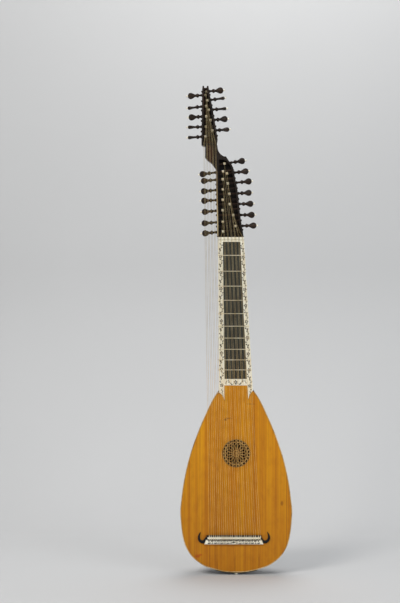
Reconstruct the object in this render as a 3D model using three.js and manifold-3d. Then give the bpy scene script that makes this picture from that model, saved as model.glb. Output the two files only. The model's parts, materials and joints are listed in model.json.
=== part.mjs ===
// Theorbo: a long-necked lute with two pegboxes, in millimetres.
// The soundboard faces -Y, the neck runs up +Z and the bass side is at -X.
// Inside the instrument group, y = 0 is the face of the soundboard and z = 0 lies just under its foot.

import * as THREE from 'three';
import { mergeVertices } from 'three/addons/utils/BufferGeometryUtils.js';
import Module from 'manifold-3d';

const wasm = await Module();
wasm.setup();

// Driving sizes of the body
const bodyLength = 513;
const bodyWidth = 313;
const bowlDepth = 145;
const ribCount = 9;
const ribThickness = 2;
const soundboardThickness = 2;
const bindingWidth = 2.2;
const roseDiameter = 79;

// Driving sizes of the neck
const neckLength = 424.3;
const neckFootWidth = 95;
const neckNutWidth = 72.5;
const neckFootOffset = -0.8;
const neckNutOffset = -14.45;
const neckDepth = 24;
const fretCount = 10;
const fretGauge = 1;

// Driving sizes of the head
const headStandOff = 1.5;
const boxFlare = 2;
const boxBassShift = 2;
const bassCheekLean = 2.4;
const lowerBoxLength = 257;
const upperBoxLength = 239;
const upperBoxWidth = 43.6;
const boxDepth = 30;
const cheekThickness = 5;
const boxBackThickness = 4;

// Driving sizes of a peg
const pegStandOut = 42;
const pegHeadWidth = 18;
const pegHeadThickness = 9.8;
const pegShankRadius = 3.2;
const pegTipRadius = 2.8;
const pegCollarRadius = 4.2;
const pegBeadRadius = 5.7;
const pegWaistRadius = 3.1;
const pegPipRadius = 2.4;
const pegOverhang = 2.5;

// Driving sizes of the bridge and the strings
const bridgeLength = 165.2;
const bridgeOffset = -6.7;
const bridgeHeight = 6.5;
const bridgeWidth = 25;
const capWidth = 5.1;
const capThickness = 1.2;
const scrollThickness = 3;
const stringRadius = 0.45;
const stringLiftAtNut = 3.2;
const pairStepAtNut = 2.6;
const pairStepAtBridge = 5.4;
const nutWidth = 8;
const upperNutDepth = 5;

// Clearances: pieces that touch keep the glue gap, sliding frets keep a little more
const glueGap = 0.3;
const fretClearance = 0.5;
const cutOverrun = 10;
const weldDistance = 1e-4;

// Heights and depths worked out from the driving sizes
const rimY = soundboardThickness + glueGap;
const neckFrontY = rimY;
const nutZ = bodyLength + neckLength;
const bridgeHeightShare = 0.1936;
const tieZ = bodyLength * bridgeHeightShare;
const stringLength = nutZ - tieZ;
const boxFootZ = nutZ + nutWidth / 2 + headStandOff;
const bowlRatio = bowlDepth / (bodyWidth / 2);

// Shells, lofts and plates

function signedVolume(points, faces) {
  const cross = new THREE.Vector3();
  let sum = 0;
  for (const [a, b, c] of faces) {
    cross.crossVectors(points[b], points[c]);
    sum += points[a].dot(cross);
  }
  return sum / 6;
}

function closedGeometry(points, faces) {
  const outward = signedVolume(points, faces) > 0;
  const geometry = new THREE.BufferGeometry().setFromPoints(points);
  geometry.setIndex(faces.flatMap(([a, b, c]) => (outward ? [a, b, c] : [a, c, b])));
  return geometry;
}

// Rings of the same count of points are joined one to the next. Faces that collapse at a pole are
// left out. The ends are closed by the faces that a caller adds, or join each other in a loop.
function ringSolid(rings, endFaces, isLoop = false) {
  const points = rings.flat();
  const count = rings[0].length;
  const faces = [];
  const same = (a, b) => points[a].distanceTo(points[b]) < weldDistance;
  const addFace = (a, b, c) => {
    if (!same(a, b) && !same(b, c) && !same(c, a)) {
      faces.push([a, b, c]);
    }
  };
  const bands = isLoop ? rings.length : rings.length - 1;
  for (let band = 0; band < bands; band += 1) {
    const low = band * count;
    const high = ((band + 1) % rings.length) * count;
    for (let i = 0; i < count; i += 1) {
      const j = (i + 1) % count;
      addFace(low + i, low + j, high + j);
      addFace(low + i, high + j, high + i);
    }
  }
  endFaces.forEach(([a, b, c]) => addFace(a, b, c));
  return closedGeometry(points, faces);
}

// Each end ring is closed by a fan from its first point
function loft(rings) {
  const count = rings[0].length;
  const last = (rings.length - 1) * count;
  const fans = [];
  for (let i = 1; i + 1 < count; i += 1) {
    fans.push([0, i + 1, i]);
    fans.push([last, last + i, last + i + 1]);
  }
  return ringSolid(rings, fans);
}

// A flat outline in x and z, from its front face back into +Y
function plate(shape, frontY, thickness) {
  const geometry = new THREE.ExtrudeGeometry(shape, { depth: thickness, bevelEnabled: false });
  geometry.rotateX(Math.PI / 2);
  geometry.translate(0, frontY + thickness, 0);
  return geometry;
}

function outlineShape(points) {
  return new THREE.Shape(points.map(([x, y]) => new THREE.Vector2(x, y)));
}

function toSolid(geometry) {
  const bare = geometry.clone();
  bare.deleteAttribute('normal');
  bare.deleteAttribute('uv');
  const merged = mergeVertices(bare, weldDistance);
  return new wasm.Manifold(new wasm.Mesh({
    numProp: 3,
    vertProperties: merged.getAttribute('position').array,
    triVerts: Uint32Array.from(merged.getIndex().array),
  }));
}

function toGeometry(solid) {
  const mesh = solid.getMesh();
  const geometry = new THREE.BufferGeometry();
  geometry.setAttribute('position', new THREE.BufferAttribute(mesh.vertProperties, 3));
  geometry.setIndex(new THREE.BufferAttribute(mesh.triVerts, 1));
  return geometry;
}

// Materials

const finishes = {
  spruce: { color: 0xbe7d23, roughness: 0.55, metalness: 0 },
  rosewood: { color: 0x3a1d12, roughness: 0.4, metalness: 0 },
  ebony: { color: 0x1d1714, roughness: 0.45, metalness: 0 },
  walnut: { color: 0x2e1c12, roughness: 0.5, metalness: 0 },
  ivory: { color: 0xe9dfc6, roughness: 0.4, metalness: 0 },
  gut: { color: 0xd8c9a0, roughness: 0.5, metalness: 0 },
  softwood: { color: 0xc9a066, roughness: 0.7, metalness: 0 },
};

const instrument = new THREE.Group();

function addPiece(name, geometry, finish) {
  const mesh = new THREE.Mesh(geometry, new THREE.MeshStandardMaterial(finishes[finish]));
  mesh.name = name;
  instrument.add(mesh);
  return mesh;
}

// Outline of the body: half widths and heights as shares of the half width and the length
const outlineShares = [
  [0, 0.0055], [0.12, 0.0066], [0.259, 0.0118], [0.44, 0.0262], [0.609, 0.0465], [0.817, 0.0998],
  [0.946, 0.182], [1, 0.318], [0.984, 0.4], [0.933, 0.509], [0.853, 0.618], [0.739, 0.727],
  [0.596, 0.836], [0.427, 0.945], [0.307, 1],
];
const outlineCurve = new THREE.SplineCurve(outlineShares.map(
  ([widthShare, heightShare]) => new THREE.Vector2(
    widthShare * bodyWidth / 2, heightShare * bodyLength),
));

// A point of the outline, moved out along its normal by an offset
function outlinePoint(along, offset) {
  const point = outlineCurve.getPointAt(along);
  const tangent = outlineCurve.getTangentAt(along);
  if (along === 0) {
    tangent.set(1, 0);
  }
  point.x += tangent.y * offset;
  point.y -= tangent.x * offset;
  return point;
}

// Where on the outline a height or, near the foot, a half width is reached
const halvings = 40;
const footZoneShare = 0.25;

function alongWhere(test) {
  let low = 0;
  let high = 1;
  for (let step = 0; step < halvings; step += 1) {
    const middle = (low + high) / 2;
    if (test(outlinePoint(middle, 0))) {
      low = middle;
    } else {
      high = middle;
    }
  }
  return low;
}

const alongHeight = (z) => alongWhere((point) => point.y < z);
const alongFootWidth = (width) => alongWhere(
  (point) => point.x < width && point.y < bodyLength * footZoneShare);

function bowlPoint(along, angle, offset) {
  const point = outlinePoint(along, offset);
  const depth = point.x * bowlRatio * Math.sin(angle);
  return new THREE.Vector3(-point.x * Math.cos(angle), rimY + depth, point.y);
}

// Bowl: ribs that run from the end clasp to the neck
const ribStations = 20;
const ribFootWidth = 14;
const ribFootAlong = alongFootWidth(ribFootWidth);

const ribAlong = (station) => ribFootAlong + (1 - ribFootAlong) * station / ribStations;

function ribRing(along, startAngle, endAngle) {
  const seam = glueGap / 2 / outlinePoint(along, 0).x;
  const first = startAngle === 0 ? 0 : startAngle + seam;
  const last = endAngle === Math.PI ? Math.PI : endAngle - seam;
  const middle = (first + last) / 2;
  return [
    bowlPoint(along, middle, -ribThickness),
    bowlPoint(along, first, -ribThickness),
    bowlPoint(along, first, 0),
    bowlPoint(along, middle, 0),
    bowlPoint(along, last, 0),
    bowlPoint(along, last, -ribThickness),
  ];
}

for (let rib = 0; rib < ribCount; rib += 1) {
  const startAngle = Math.PI * rib / ribCount;
  const endAngle = rib + 1 === ribCount ? Math.PI : Math.PI * (rib + 1) / ribCount;
  const rings = [];
  for (let station = 0; station <= ribStations; station += 1) {
    rings.push(ribRing(ribAlong(station), startAngle, endAngle));
  }
  addPiece(`bowl_rib_${rib + 1}`, loft(rings), 'rosewood');
}

// End clasp: the capping strip over the foot of the ribs
const claspThickness = 1.6;
const claspGap = glueGap * 2;
const claspReach = 62;
const claspStations = 6;
const claspSteps = 14;

function claspRing(along) {
  const outer = [];
  const inner = [];
  for (let step = 0; step <= claspSteps; step += 1) {
    const angle = Math.PI * step / claspSteps;
    outer.push(bowlPoint(along, angle, claspGap + claspThickness));
    inner.push(bowlPoint(along, angle, claspGap));
  }
  return [...outer, ...inner.reverse()];
}

// The strip bends round the foot, so its last edge is closed quad by quad
function claspGeometry() {
  const reach = alongFootWidth(claspReach);
  const rings = [];
  for (let station = 0; station <= claspStations; station += 1) {
    rings.push(claspRing(reach * station / claspStations));
  }
  const count = rings[0].length;
  const last = (rings.length - 1) * count;
  const rim = [];
  for (let i = 0; i < claspSteps; i += 1) {
    const inner = last + count - 1 - i;
    rim.push([last + i, last + i + 1, inner - 1]);
    rim.push([last + i, inner - 1, inner]);
  }
  return ringSolid(rings, rim);
}

addPiece('end_clasp', claspGeometry(), 'ebony');

// End button: a small turned knob under the foot of the bowl
const buttonRadius = 4.6;
const buttonLength = 4;
const buttonInset = 6;
const buttonSides = 16;
const buttonShares = [
  [0, 0], [0.9, 0], [1, 0.12], [1, 0.4], [0.72, 0.55], [0.66, 0.7], [0.8, 1], [0, 1],
];
const buttonTopZ = outlinePoint(0, 0).y - (claspGap + claspThickness + glueGap);
const button = new THREE.LatheGeometry(
  buttonShares.map(([radiusShare, heightShare]) => new THREE.Vector2(
    radiusShare * buttonRadius, heightShare * buttonLength)),
  buttonSides,
);
button.rotateX(Math.PI / 2);
button.translate(0, rimY + buttonInset, buttonTopZ - buttonLength);
addPiece('end_button', toGeometry(toSolid(button)), 'ivory');

// Neck: its two edges lean to the bass side
const neckLean = (neckNutOffset - neckFootOffset) / neckLength;
const neckCentre = (z) => neckFootOffset + (z - bodyLength) * neckLean;
const neckHalf = (z) => (
  neckFootWidth + (z - bodyLength) * (neckNutWidth - neckFootWidth) / neckLength) / 2;
const neckLeft = (z) => neckCentre(z) - neckHalf(z);
const neckRight = (z) => neckCentre(z) + neckHalf(z);
const neckTopZ = boxFootZ - glueGap;
const neckArcSteps = 10;

// The heel takes the depth of the bowl at the joint down to that of the neck
const heelShares = [[0, 1], [0.015, 0.72], [0.035, 0.4], [0.06, 0.17], [0.085, 0.05], [0.11, 0]];
const jointDepth = outlinePoint(1, 0).x * bowlRatio;

function neckDepthAt(z) {
  const share = Math.max(0, (z - bodyLength) / neckLength);
  let swell = 0;
  for (let i = 0; i + 1 < heelShares.length; i += 1) {
    const [low, lowSwell] = heelShares[i];
    const [high, highSwell] = heelShares[i + 1];
    if (share >= low && share <= high) {
      swell = lowSwell + (highSwell - lowSwell) * (share - low) / (high - low);
    }
  }
  return neckDepth + (jointDepth - neckDepth) * swell;
}

function neckSection(z, grow) {
  const section = [];
  for (let step = 0; step <= neckArcSteps; step += 1) {
    const angle = Math.PI * step / neckArcSteps;
    section.push([
      neckCentre(z) - (neckHalf(z) + grow) * Math.cos(angle),
      neckFrontY + (neckDepthAt(z) + grow) * Math.sin(angle),
    ]);
  }
  return section;
}

const neckStations = [
  bodyLength + glueGap,
  ...heelShares.slice(1).map(([heightShare]) => bodyLength + heightShare * neckLength),
  neckTopZ,
];
addPiece('neck', loft(neckStations.map(
  (z) => neckSection(z, 0).map(([x, y]) => new THREE.Vector3(x, y, z)))), 'walnut');

// Neck block: fills the bowl behind the neck joint, shaped by the last stations of the ribs
const blockStations = 2;
const blockRings = [];
for (let station = ribStations - blockStations; station <= ribStations; station += 1) {
  const ring = [];
  for (let seam = 0; seam <= ribCount; seam += 1) {
    ring.push(bowlPoint(ribAlong(station), Math.PI * seam / ribCount, -ribThickness - glueGap));
  }
  blockRings.push(ring);
}
addPiece('neck_block', loft(blockRings), 'softwood');

// Fingerboard border: a frame round the panel, with a pointed beard down each side
const beardLength = 29;
const beardInnerInset = 15;
const footStripRise = 13;
const footStripWidth = 18;
const headStripWidth = 5;
const sideStripFootWidth = 16;
const sideStripHeadWidthBass = 13.2;
const sideStripHeadWidthTreble = 10.8;
const beardSteps = 6;
const borderTopZ = nutZ - nutWidth / 2 - glueGap;
const borderFootZ = bodyLength + footStripRise;
const beardTipZ = bodyLength - beardLength;
const panelFootZ = borderFootZ + footStripWidth;
const panelTopZ = borderTopZ - headStripWidth;
const beardCornerShares = { bass: 0.24, treble: 0.07 };
const beardBendShares = { across: 0.82, up: 0.72 };

// One side of the beard, from its corner at the edge of the body down to its tip
function beardCurve(side, grow) {
  const edge = side === 'bass' ? neckLeft : neckRight;
  const inward = side === 'bass' ? 1 : -1;
  const cornerZ = bodyLength - beardLength * beardCornerShares[side];
  const corner = new THREE.Vector2(edge(cornerZ) - inward * grow, cornerZ - grow);
  const tip = new THREE.Vector2(
    edge(beardTipZ) + inward * (beardInnerInset - grow), beardTipZ - grow);
  const bend = new THREE.Vector2(
    corner.x + (tip.x - corner.x) * beardBendShares.across,
    tip.y + (corner.y - tip.y) * beardBendShares.up,
  );
  const points = new THREE.QuadraticBezierCurve(corner, bend, tip).getPoints(beardSteps);
  return points.map(({ x, y }) => [x, y]);
}

function beardInnerX(side, z, grow) {
  const edge = side === 'bass' ? neckLeft : neckRight;
  const inward = side === 'bass' ? 1 : -1;
  return edge(z) + inward * (beardInnerInset + grow);
}

const border = outlineShape([
  ...beardCurve('bass', 0).reverse(),
  [neckLeft(bodyLength), bodyLength],
  [neckLeft(borderTopZ), borderTopZ],
  [neckRight(borderTopZ), borderTopZ],
  [neckRight(bodyLength), bodyLength],
  ...beardCurve('treble', 0),
  [beardInnerX('treble', borderFootZ, 0), borderFootZ],
  [beardInnerX('bass', borderFootZ, 0), borderFootZ],
]);

function panelOutline(shrink) {
  const footZ = panelFootZ + shrink;
  const topZ = panelTopZ - shrink;
  return [
    [neckLeft(footZ) + sideStripFootWidth + shrink, footZ],
    [neckRight(footZ) - sideStripFootWidth - shrink, footZ],
    [neckRight(topZ) - sideStripHeadWidthTreble - shrink, topZ],
    [neckLeft(topZ) + sideStripHeadWidthBass + shrink, topZ],
  ];
}

border.holes.push(outlineShape(panelOutline(0)));
addPiece('fingerboard_border', plate(border, 0, soundboardThickness), 'ivory');
addPiece('fingerboard', plate(outlineShape(panelOutline(glueGap)), 0, soundboardThickness), 'ebony');

// Soundboard: it fills the binding and runs up between the beards to the foot strip
const edgeSteps = 22;
const bindingDropShare = 0.4;
const hornDropShares = { bass: 0.28, treble: 0.17 };
const bindingTopZ = bodyLength - footStripRise * bindingDropShare;
const hornTopZ = (side) => bodyLength - beardLength * hornDropShares[side];

function edgeLine(offset, topZ, sign) {
  const reach = alongHeight(topZ);
  const line = [];
  for (let step = 0; step <= edgeSteps; step += 1) {
    const point = outlinePoint(reach * step / edgeSteps, offset);
    line.push([sign * point.x, point.y]);
  }
  return line;
}

const soundboardInset = -bindingWidth - glueGap;
const trebleEdge = edgeLine(soundboardInset, hornTopZ('treble'), 1);
const bassEdge = edgeLine(soundboardInset, hornTopZ('bass'), -1).slice(1).reverse();
const soundboard = outlineShape([
  ...trebleEdge,
  ...beardCurve('treble', glueGap),
  [beardInnerX('treble', beardTipZ, glueGap), beardTipZ - glueGap],
  [beardInnerX('treble', borderFootZ, glueGap), borderFootZ - glueGap],
  [beardInnerX('bass', borderFootZ, glueGap), borderFootZ - glueGap],
  [beardInnerX('bass', beardTipZ, glueGap), beardTipZ - glueGap],
  ...beardCurve('bass', glueGap).reverse(),
  ...bassEdge,
]);

// Rose: rings of pierced openings, staggered from one ring to the next
const roseHeightShare = 0.6544;
const roseZ = bodyLength * roseHeightShare;
const roseRadius = roseDiameter / 2;
const roseRingShares = [
  { count: 6, inner: 0.16, outer: 0.4, width: 0.3 },
  { count: 12, inner: 0.46, outer: 0.66, width: 0.28 },
  { count: 18, inner: 0.72, outer: 0.92, width: 0.27 },
];
const roseEyeShare = 0.1;

function roseHole(angle, ring) {
  const middle = (ring.inner + ring.outer) / 2;
  const spread = Math.PI * 2 / ring.count * ring.width;
  const corners = [
    [angle, ring.inner], [angle + spread, middle], [angle, ring.outer], [angle - spread, middle],
  ];
  return outlineShape(corners.map(([turn, share]) => [
    Math.sin(turn) * share * roseRadius,
    roseZ + Math.cos(turn) * share * roseRadius,
  ]));
}

roseRingShares.forEach((ring, row) => {
  for (let i = 0; i < ring.count; i += 1) {
    soundboard.holes.push(roseHole(Math.PI * 2 * (i + (row % 2) / 2) / ring.count, ring));
  }
});
soundboard.holes.push(outlineShape([0, 1, 2, 3, 4, 5].map((i) => [
  Math.sin(i * Math.PI / 3) * roseEyeShare * roseRadius,
  roseZ + Math.cos(i * Math.PI / 3) * roseEyeShare * roseRadius,
])));
addPiece('soundboard', plate(soundboard, 0, soundboardThickness), 'spruce');

// Edge binding: the pale strip round the soundboard
const binding = outlineShape([
  ...edgeLine(0, bindingTopZ, -1).reverse(),
  ...edgeLine(0, bindingTopZ, 1).slice(1),
  ...edgeLine(-bindingWidth, bindingTopZ, 1).reverse(),
  ...edgeLine(-bindingWidth, bindingTopZ, -1).slice(1),
]);
addPiece('edge_binding', plate(binding, 0, soundboardThickness), 'ivory');

// Cross bars glued under the soundboard, cut lower towards their ends
const barDepth = 14;
const barWidth = 5;
const barEndSlope = 8;
const barHeightShares = { bar_below_rose: 0.55, bar_above_rose: 0.76 };
for (const [name, heightShare] of Object.entries(barHeightShares)) {
  const z = bodyLength * heightShare;
  const half = outlinePoint(alongHeight(z), 0).x - ribThickness - barWidth;
  const bar = new THREE.ExtrudeGeometry(outlineShape([
    [-half, rimY],
    [half, rimY],
    [half - barEndSlope, rimY + barDepth],
    [barEndSlope - half, rimY + barDepth],
  ]), { depth: barWidth, bevelEnabled: false });
  bar.translate(0, 0, z - barWidth / 2);
  addPiece(name, bar, 'softwood');
}

// Tied frets: gut loops round the neck, spaced by equal semitones
const semitone = 2 ** (-1 / 12);

function fretOutline(z, grow) {
  const frontY = fretClearance - glueGap - grow;
  const sides = neckSection(z, grow);
  return [[sides[0][0], frontY], ...sides, [sides[neckArcSteps][0], frontY]];
}

function fretGeometry(z) {
  const inner = fretOutline(z, fretClearance);
  const outer = fretOutline(z, fretClearance + fretGauge);
  const low = z - fretGauge / 2;
  const high = z + fretGauge / 2;
  const rings = inner.map(([x, y], i) => [
    new THREE.Vector3(x, y, low),
    new THREE.Vector3(outer[i][0], outer[i][1], low),
    new THREE.Vector3(outer[i][0], outer[i][1], high),
    new THREE.Vector3(x, y, high),
  ]);
  return ringSolid(rings, [], true);
}

for (let fret = 1; fret <= fretCount; fret += 1) {
  const z = nutZ - stringLength * (1 - semitone ** fret);
  addPiece(`fret_${fret}`, fretGeometry(z), 'gut');
}

// Nut at the end of the fingerboard
const nutFrontY = stringRadius + glueGap - stringLiftAtNut;
const nut = new THREE.BoxGeometry(neckNutWidth - glueGap, soundboardThickness - nutFrontY, nutWidth);
nut.translate(neckCentre(nutZ), (soundboardThickness + nutFrontY) / 2, nutZ);
addPiece('nut', nut, 'ivory');

// Outlines of the two pegboxes, as shares of their widths and lengths
const boxFrontY = soundboardThickness / 2;
const boxLeftX = neckLeft(nutZ) - boxFlare / 2 - boxBassShift;
const lowerBoxWidth = neckNutWidth + boxFlare;
const lowerRightShares = [
  [1, 0], [0.944, 0.101], [0.872, 0.237], [0.774, 0.502], [0.681, 0.638], [0.601, 0.755],
  [0.448, 0.825],
];
const lowerTopShares = [
  [0.336, 0.874], [0.246, 0.876], [0.13, 0.9], [0.067, 0.924], [0.038, 0.945], [0.022, 0.968],
  [0.012, 0.996], [0, 0.996],
];
const lowerPoint = ([widthShare, heightShare]) => [
  boxLeftX + widthShare * lowerBoxWidth,
  boxFootZ + heightShare * lowerBoxLength,
];

const upperFootShare = 0.712;
const upperFootZ = boxFootZ + lowerBoxLength * upperFootShare;
const upperRootX = boxLeftX - glueGap;
const upperRightShares = [
  [-0.05, 0.372], [0.05, 0.49], [0.16, 0.611], [0.316, 0.77], [0.455, 0.9],
];
const upperTopShares = [
  [0.545, 1], [0.635, 1], [0.66, 0.977], [0.81, 0.977], [0.83, 1], [0.925, 1],
];
const upperLeftShares = [[0.95, 0.958], [0.985, 0.49], [0.995, 0.318]];
const upperFootShares = [
  [0.96, 0.305], [0.75, 0.293], [0.75, 0.164], [0.571, 0.126], [0.339, 0.096], [0.14, 0.045],
  [0.057, 0.025], [0, 0.025], [0, 0.313],
];
const upperPoint = ([widthShare, heightShare]) => [
  upperRootX - widthShare * upperBoxWidth,
  upperFootZ + heightShare * upperBoxLength,
];

// The bass cheek leans out up to just under the foot of the upper box
const bassCheekTopShare = 0.02;

// Height of a wall's point and how far the wall leans there, from the points of its edge
function wallAt(edge, z) {
  for (let i = 0; i + 1 < edge.length; i += 1) {
    const [x0, z0] = edge[i];
    const [x1, z1] = edge[i + 1];
    if (z >= z0 && z <= z1) {
      const slope = (x1 - x0) / (z1 - z0);
      return { x: x0 + (z - z0) * slope, slope };
    }
  }
  throw new Error(`no wall at height ${z}`);
}

const bassCheekTopZ = upperFootZ + upperBoxLength * bassCheekTopShare;
const lowerBassWall = [
  [boxLeftX, boxFootZ],
  [boxLeftX - bassCheekLean, bassCheekTopZ],
  [boxLeftX, bassCheekTopZ + glueGap],
  [boxLeftX, boxFootZ + lowerBoxLength],
];
const lowerTrebleWall = lowerRightShares.map(lowerPoint);
const upperBassWall = [...upperLeftShares].reverse().map(upperPoint);
const upperTrebleWall = [...upperRightShares, upperTopShares[0]].map(upperPoint);

// Pegs: height shares on the wall, lean in degrees above level, how much farther out than the
// least each stands, the turn of the flat head, and where across the box its string ends.
// From the index blindFrom on, a peg ends inside the far cheek, because the other box stands there.
const pegRows = [
  {
    name: 'lower_bass_peg',
    box: 'lower',
    side: -1,
    wall: lowerBassWall,
    farWall: lowerTrebleWall,
    heightShares: [0.05, 0.158, 0.284, 0.4, 0.51, 0.622, 0.703],
    leans: [-5.5, -4.5, -5, -3, -5.5, -5, -7.5],
    extras: [3.8, 4.8, 3.8, 5.3, 5.6, 5.2, 8.6],
    blindFrom: 7,
    turns: [0, 14, -8, 6, 0, -12, 8],
    ends: [0.2, 0.2, 0.22, 0.24, 0.27, 0.3, 0.36],
  },
  {
    name: 'lower_treble_peg',
    box: 'lower',
    side: 1,
    wall: lowerTrebleWall,
    farWall: lowerBassWall,
    heightShares: [0.119, 0.238, 0.358, 0.474, 0.591, 0.7, 0.8086],
    leans: [1.5, 0.5, 1, 3, 5.5, 6.5, 8],
    extras: [2.9, 2.8, 2.3, 1.1, 6.3, 3.1, 3.3],
    blindFrom: 5,
    turns: [10, -6, 0, 12, -4, 8, -10],
    ends: [0.79, 0.74, 0.6, 0.62, 0.6, 0.62, 0.6],
  },
  {
    name: 'upper_bass_peg',
    box: 'upper',
    side: -1,
    wall: upperBassWall,
    farWall: upperTrebleWall,
    heightShares: [0.4092, 0.5255, 0.6456, 0.764, 0.897],
    leans: [-4, -2, -4, -7, -4],
    extras: [0.2, 0.6, -1, 1.9, 2],
    blindFrom: 5,
    turns: [84, 78, 4, 88, -6],
    ends: [0.16, 0.24, 0.3, 0.36, 0.4],
  },
  {
    name: 'upper_treble_peg',
    box: 'upper',
    side: 1,
    wall: upperTrebleWall,
    farWall: upperBassWall,
    heightShares: [0.4845, 0.6075, 0.728, 0.8418, 0.944],
    leans: [4.5, 4.5, 4.5, 8, 4],
    extras: [-1.1, -1, 0.5, 1.3, 1.6],
    blindFrom: 5,
    turns: [46, 6, 86, 82, -4],
    ends: [0.84, 0.76, 0.7, 0.64, 0.6],
  },
];
const pegAxisShare = 0.4;
const pegAxisY = boxFrontY + boxDepth * pegAxisShare;
const boxFoot = { lower: boxFootZ, upper: upperFootZ };
const boxLength = { lower: lowerBoxLength, upper: upperBoxLength };
const pegSides = 8;

// Rings of a peg from its seat to its pip: how far out, and shares of a stage's half width and depth.
// The seated ones stay at the cheek however far out the peg stands.
const pegStages = {
  shank: [pegShankRadius, pegShankRadius],
  collar: [pegCollarRadius, pegCollarRadius],
  bead: [pegBeadRadius, pegBeadRadius],
  waist: [pegWaistRadius, pegWaistRadius],
  head: [pegHeadWidth / 2, pegHeadThickness / 2],
  pip: [pegPipRadius, pegPipRadius],
};
const pegSeatedShares = [
  { out: 0, stage: 'shank', wide: 1, thick: 1 },
  { out: 0.004, stage: 'collar', wide: 1, thick: 1 },
  { out: 0.08, stage: 'collar', wide: 0.92, thick: 0.92 },
  { out: 0.105, stage: 'waist', wide: 1, thick: 1 },
];
const pegRingShares = [
  { out: 0.145, stage: 'waist', wide: 1, thick: 1 },
  { out: 0.178, stage: 'bead', wide: 0.86, thick: 0.86 },
  { out: 0.235, stage: 'bead', wide: 1, thick: 1 },
  { out: 0.31, stage: 'bead', wide: 0.8, thick: 0.8 },
  { out: 0.345, stage: 'waist', wide: 1.15, thick: 1 },
  { out: 0.48, stage: 'head', wide: 0.6, thick: 0.62 },
  { out: 0.59, stage: 'head', wide: 0.88, thick: 0.68 },
  { out: 0.71, stage: 'head', wide: 1, thick: 0.84 },
  { out: 0.8, stage: 'head', wide: 0.9, thick: 1 },
  { out: 0.875, stage: 'head', wide: 0.4, thick: 0.62 },
  { out: 0.89, stage: 'pip', wide: 0.8, thick: 0.8 },
  { out: 0.945, stage: 'pip', wide: 1, thick: 1 },
  { out: 1, stage: 'pip', wide: 0.5, thick: 0.5 },
];

function pegRing(wide, thick, z) {
  const ring = [];
  for (let i = 0; i < pegSides; i += 1) {
    const angle = Math.PI * 2 * i / pegSides;
    ring.push(new THREE.Vector3(wide * Math.cos(angle), thick * Math.sin(angle), z));
  }
  return ring;
}

function pegGeometry(insideLength, extra, turn) {
  const rings = [pegRing(pegTipRadius, pegTipRadius, -insideLength)];
  for (const [shares, farther] of [[pegSeatedShares, 0], [pegRingShares, extra]]) {
    for (const { out, stage, wide, thick } of shares) {
      const [halfWidth, halfThickness] = pegStages[stage];
      rings.push(pegRing(wide * halfWidth, thick * halfThickness, out * pegStandOut + farther));
    }
  }
  const geometry = loft(rings);
  geometry.rotateZ(THREE.MathUtils.degToRad(turn));
  return geometry;
}

// A tip stands out past the far cheek, or ends inside it where the other box or a collar is too near
const tipRoom = pegCollarRadius * Math.cos(Math.PI / pegSides) + pegTipRadius;

function tipReach(row, index, exitZ) {
  const opposite = pegRows.find((other) => other.box === row.box && other.side !== row.side);
  const isCrowded = opposite.heightShares.some((share) => (
    Math.abs(boxFoot[row.box] + share * boxLength[row.box] - exitZ) < tipRoom));
  return isCrowded || index >= row.blindFrom ? -cheekThickness / 2 : pegOverhang;
}

// A peg's axis starts at its seat on the wall and runs out through the middle of its head
function pegPlace(row, index) {
  const z = boxFoot[row.box] + row.heightShares[index] * boxLength[row.box];
  const lean = THREE.MathUtils.degToRad(row.leans[index]);
  const { x, slope } = wallAt(row.wall, z);
  const direction = new THREE.Vector3(row.side * Math.cos(lean), 0, Math.sin(lean));
  const tilt = Math.abs(row.side * slope + Math.tan(lean));
  const seat = glueGap + pegCollarRadius * tilt;
  const exitZ = z - Math.abs(x - row.farWall[0][0]) * Math.tan(lean);
  const far = wallAt(row.farWall, exitZ);
  const insideLength = Math.abs(x - far.x) / Math.cos(lean) + tipReach(row, index, exitZ) + seat;
  const origin = new THREE.Vector3(x, pegAxisY, z).addScaledVector(direction, seat);
  return { origin, direction, insideLength };
}

// Bores of the pegs, cut through both cheeks
const upward = new THREE.Vector3(0, 0, 1);
const boreRadius = (pegShankRadius + glueGap) / Math.cos(Math.PI / pegSides);

function pegBore({ origin, direction, insideLength }) {
  const length = insideLength + cutOverrun * 2;
  const bore = new THREE.CylinderGeometry(boreRadius, boreRadius, length, pegSides);
  bore.rotateX(Math.PI / 2);
  bore.translate(0, 0, cutOverrun - length / 2);
  bore.applyQuaternion(new THREE.Quaternion().setFromUnitVectors(upward, direction));
  bore.translate(origin.x, origin.y, origin.z);
  return toSolid(bore);
}

const bores = { lower: [], upper: [] };
for (const row of pegRows) {
  row.heightShares.forEach((share, index) => {
    const place = pegPlace(row, index);
    bores[row.box].push(pegBore(place));
    const geometry = pegGeometry(
      place.insideLength, row.extras[index], row.turns[index]);
    const peg = addPiece(`${row.name}_${index + 1}`, geometry, 'ebony');
    peg.position.copy(place.origin);
    peg.quaternion.setFromUnitVectors(upward, place.direction);
  });
}

// Pegboxes: carved from one block each, open to the front, with the bores cut through the cheeks
const cavityDepth = boxDepth - boxBackThickness + cutOverrun;

function pegbox(outline, cavity, boreSolids) {
  let box = toSolid(plate(outlineShape(outline), boxFrontY, boxDepth));
  box = box.subtract(toSolid(plate(outlineShape(cavity), boxFrontY - cutOverrun, cavityDepth)));
  for (const bore of boreSolids) {
    box = box.subtract(bore);
  }
  return toGeometry(box);
}

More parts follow.
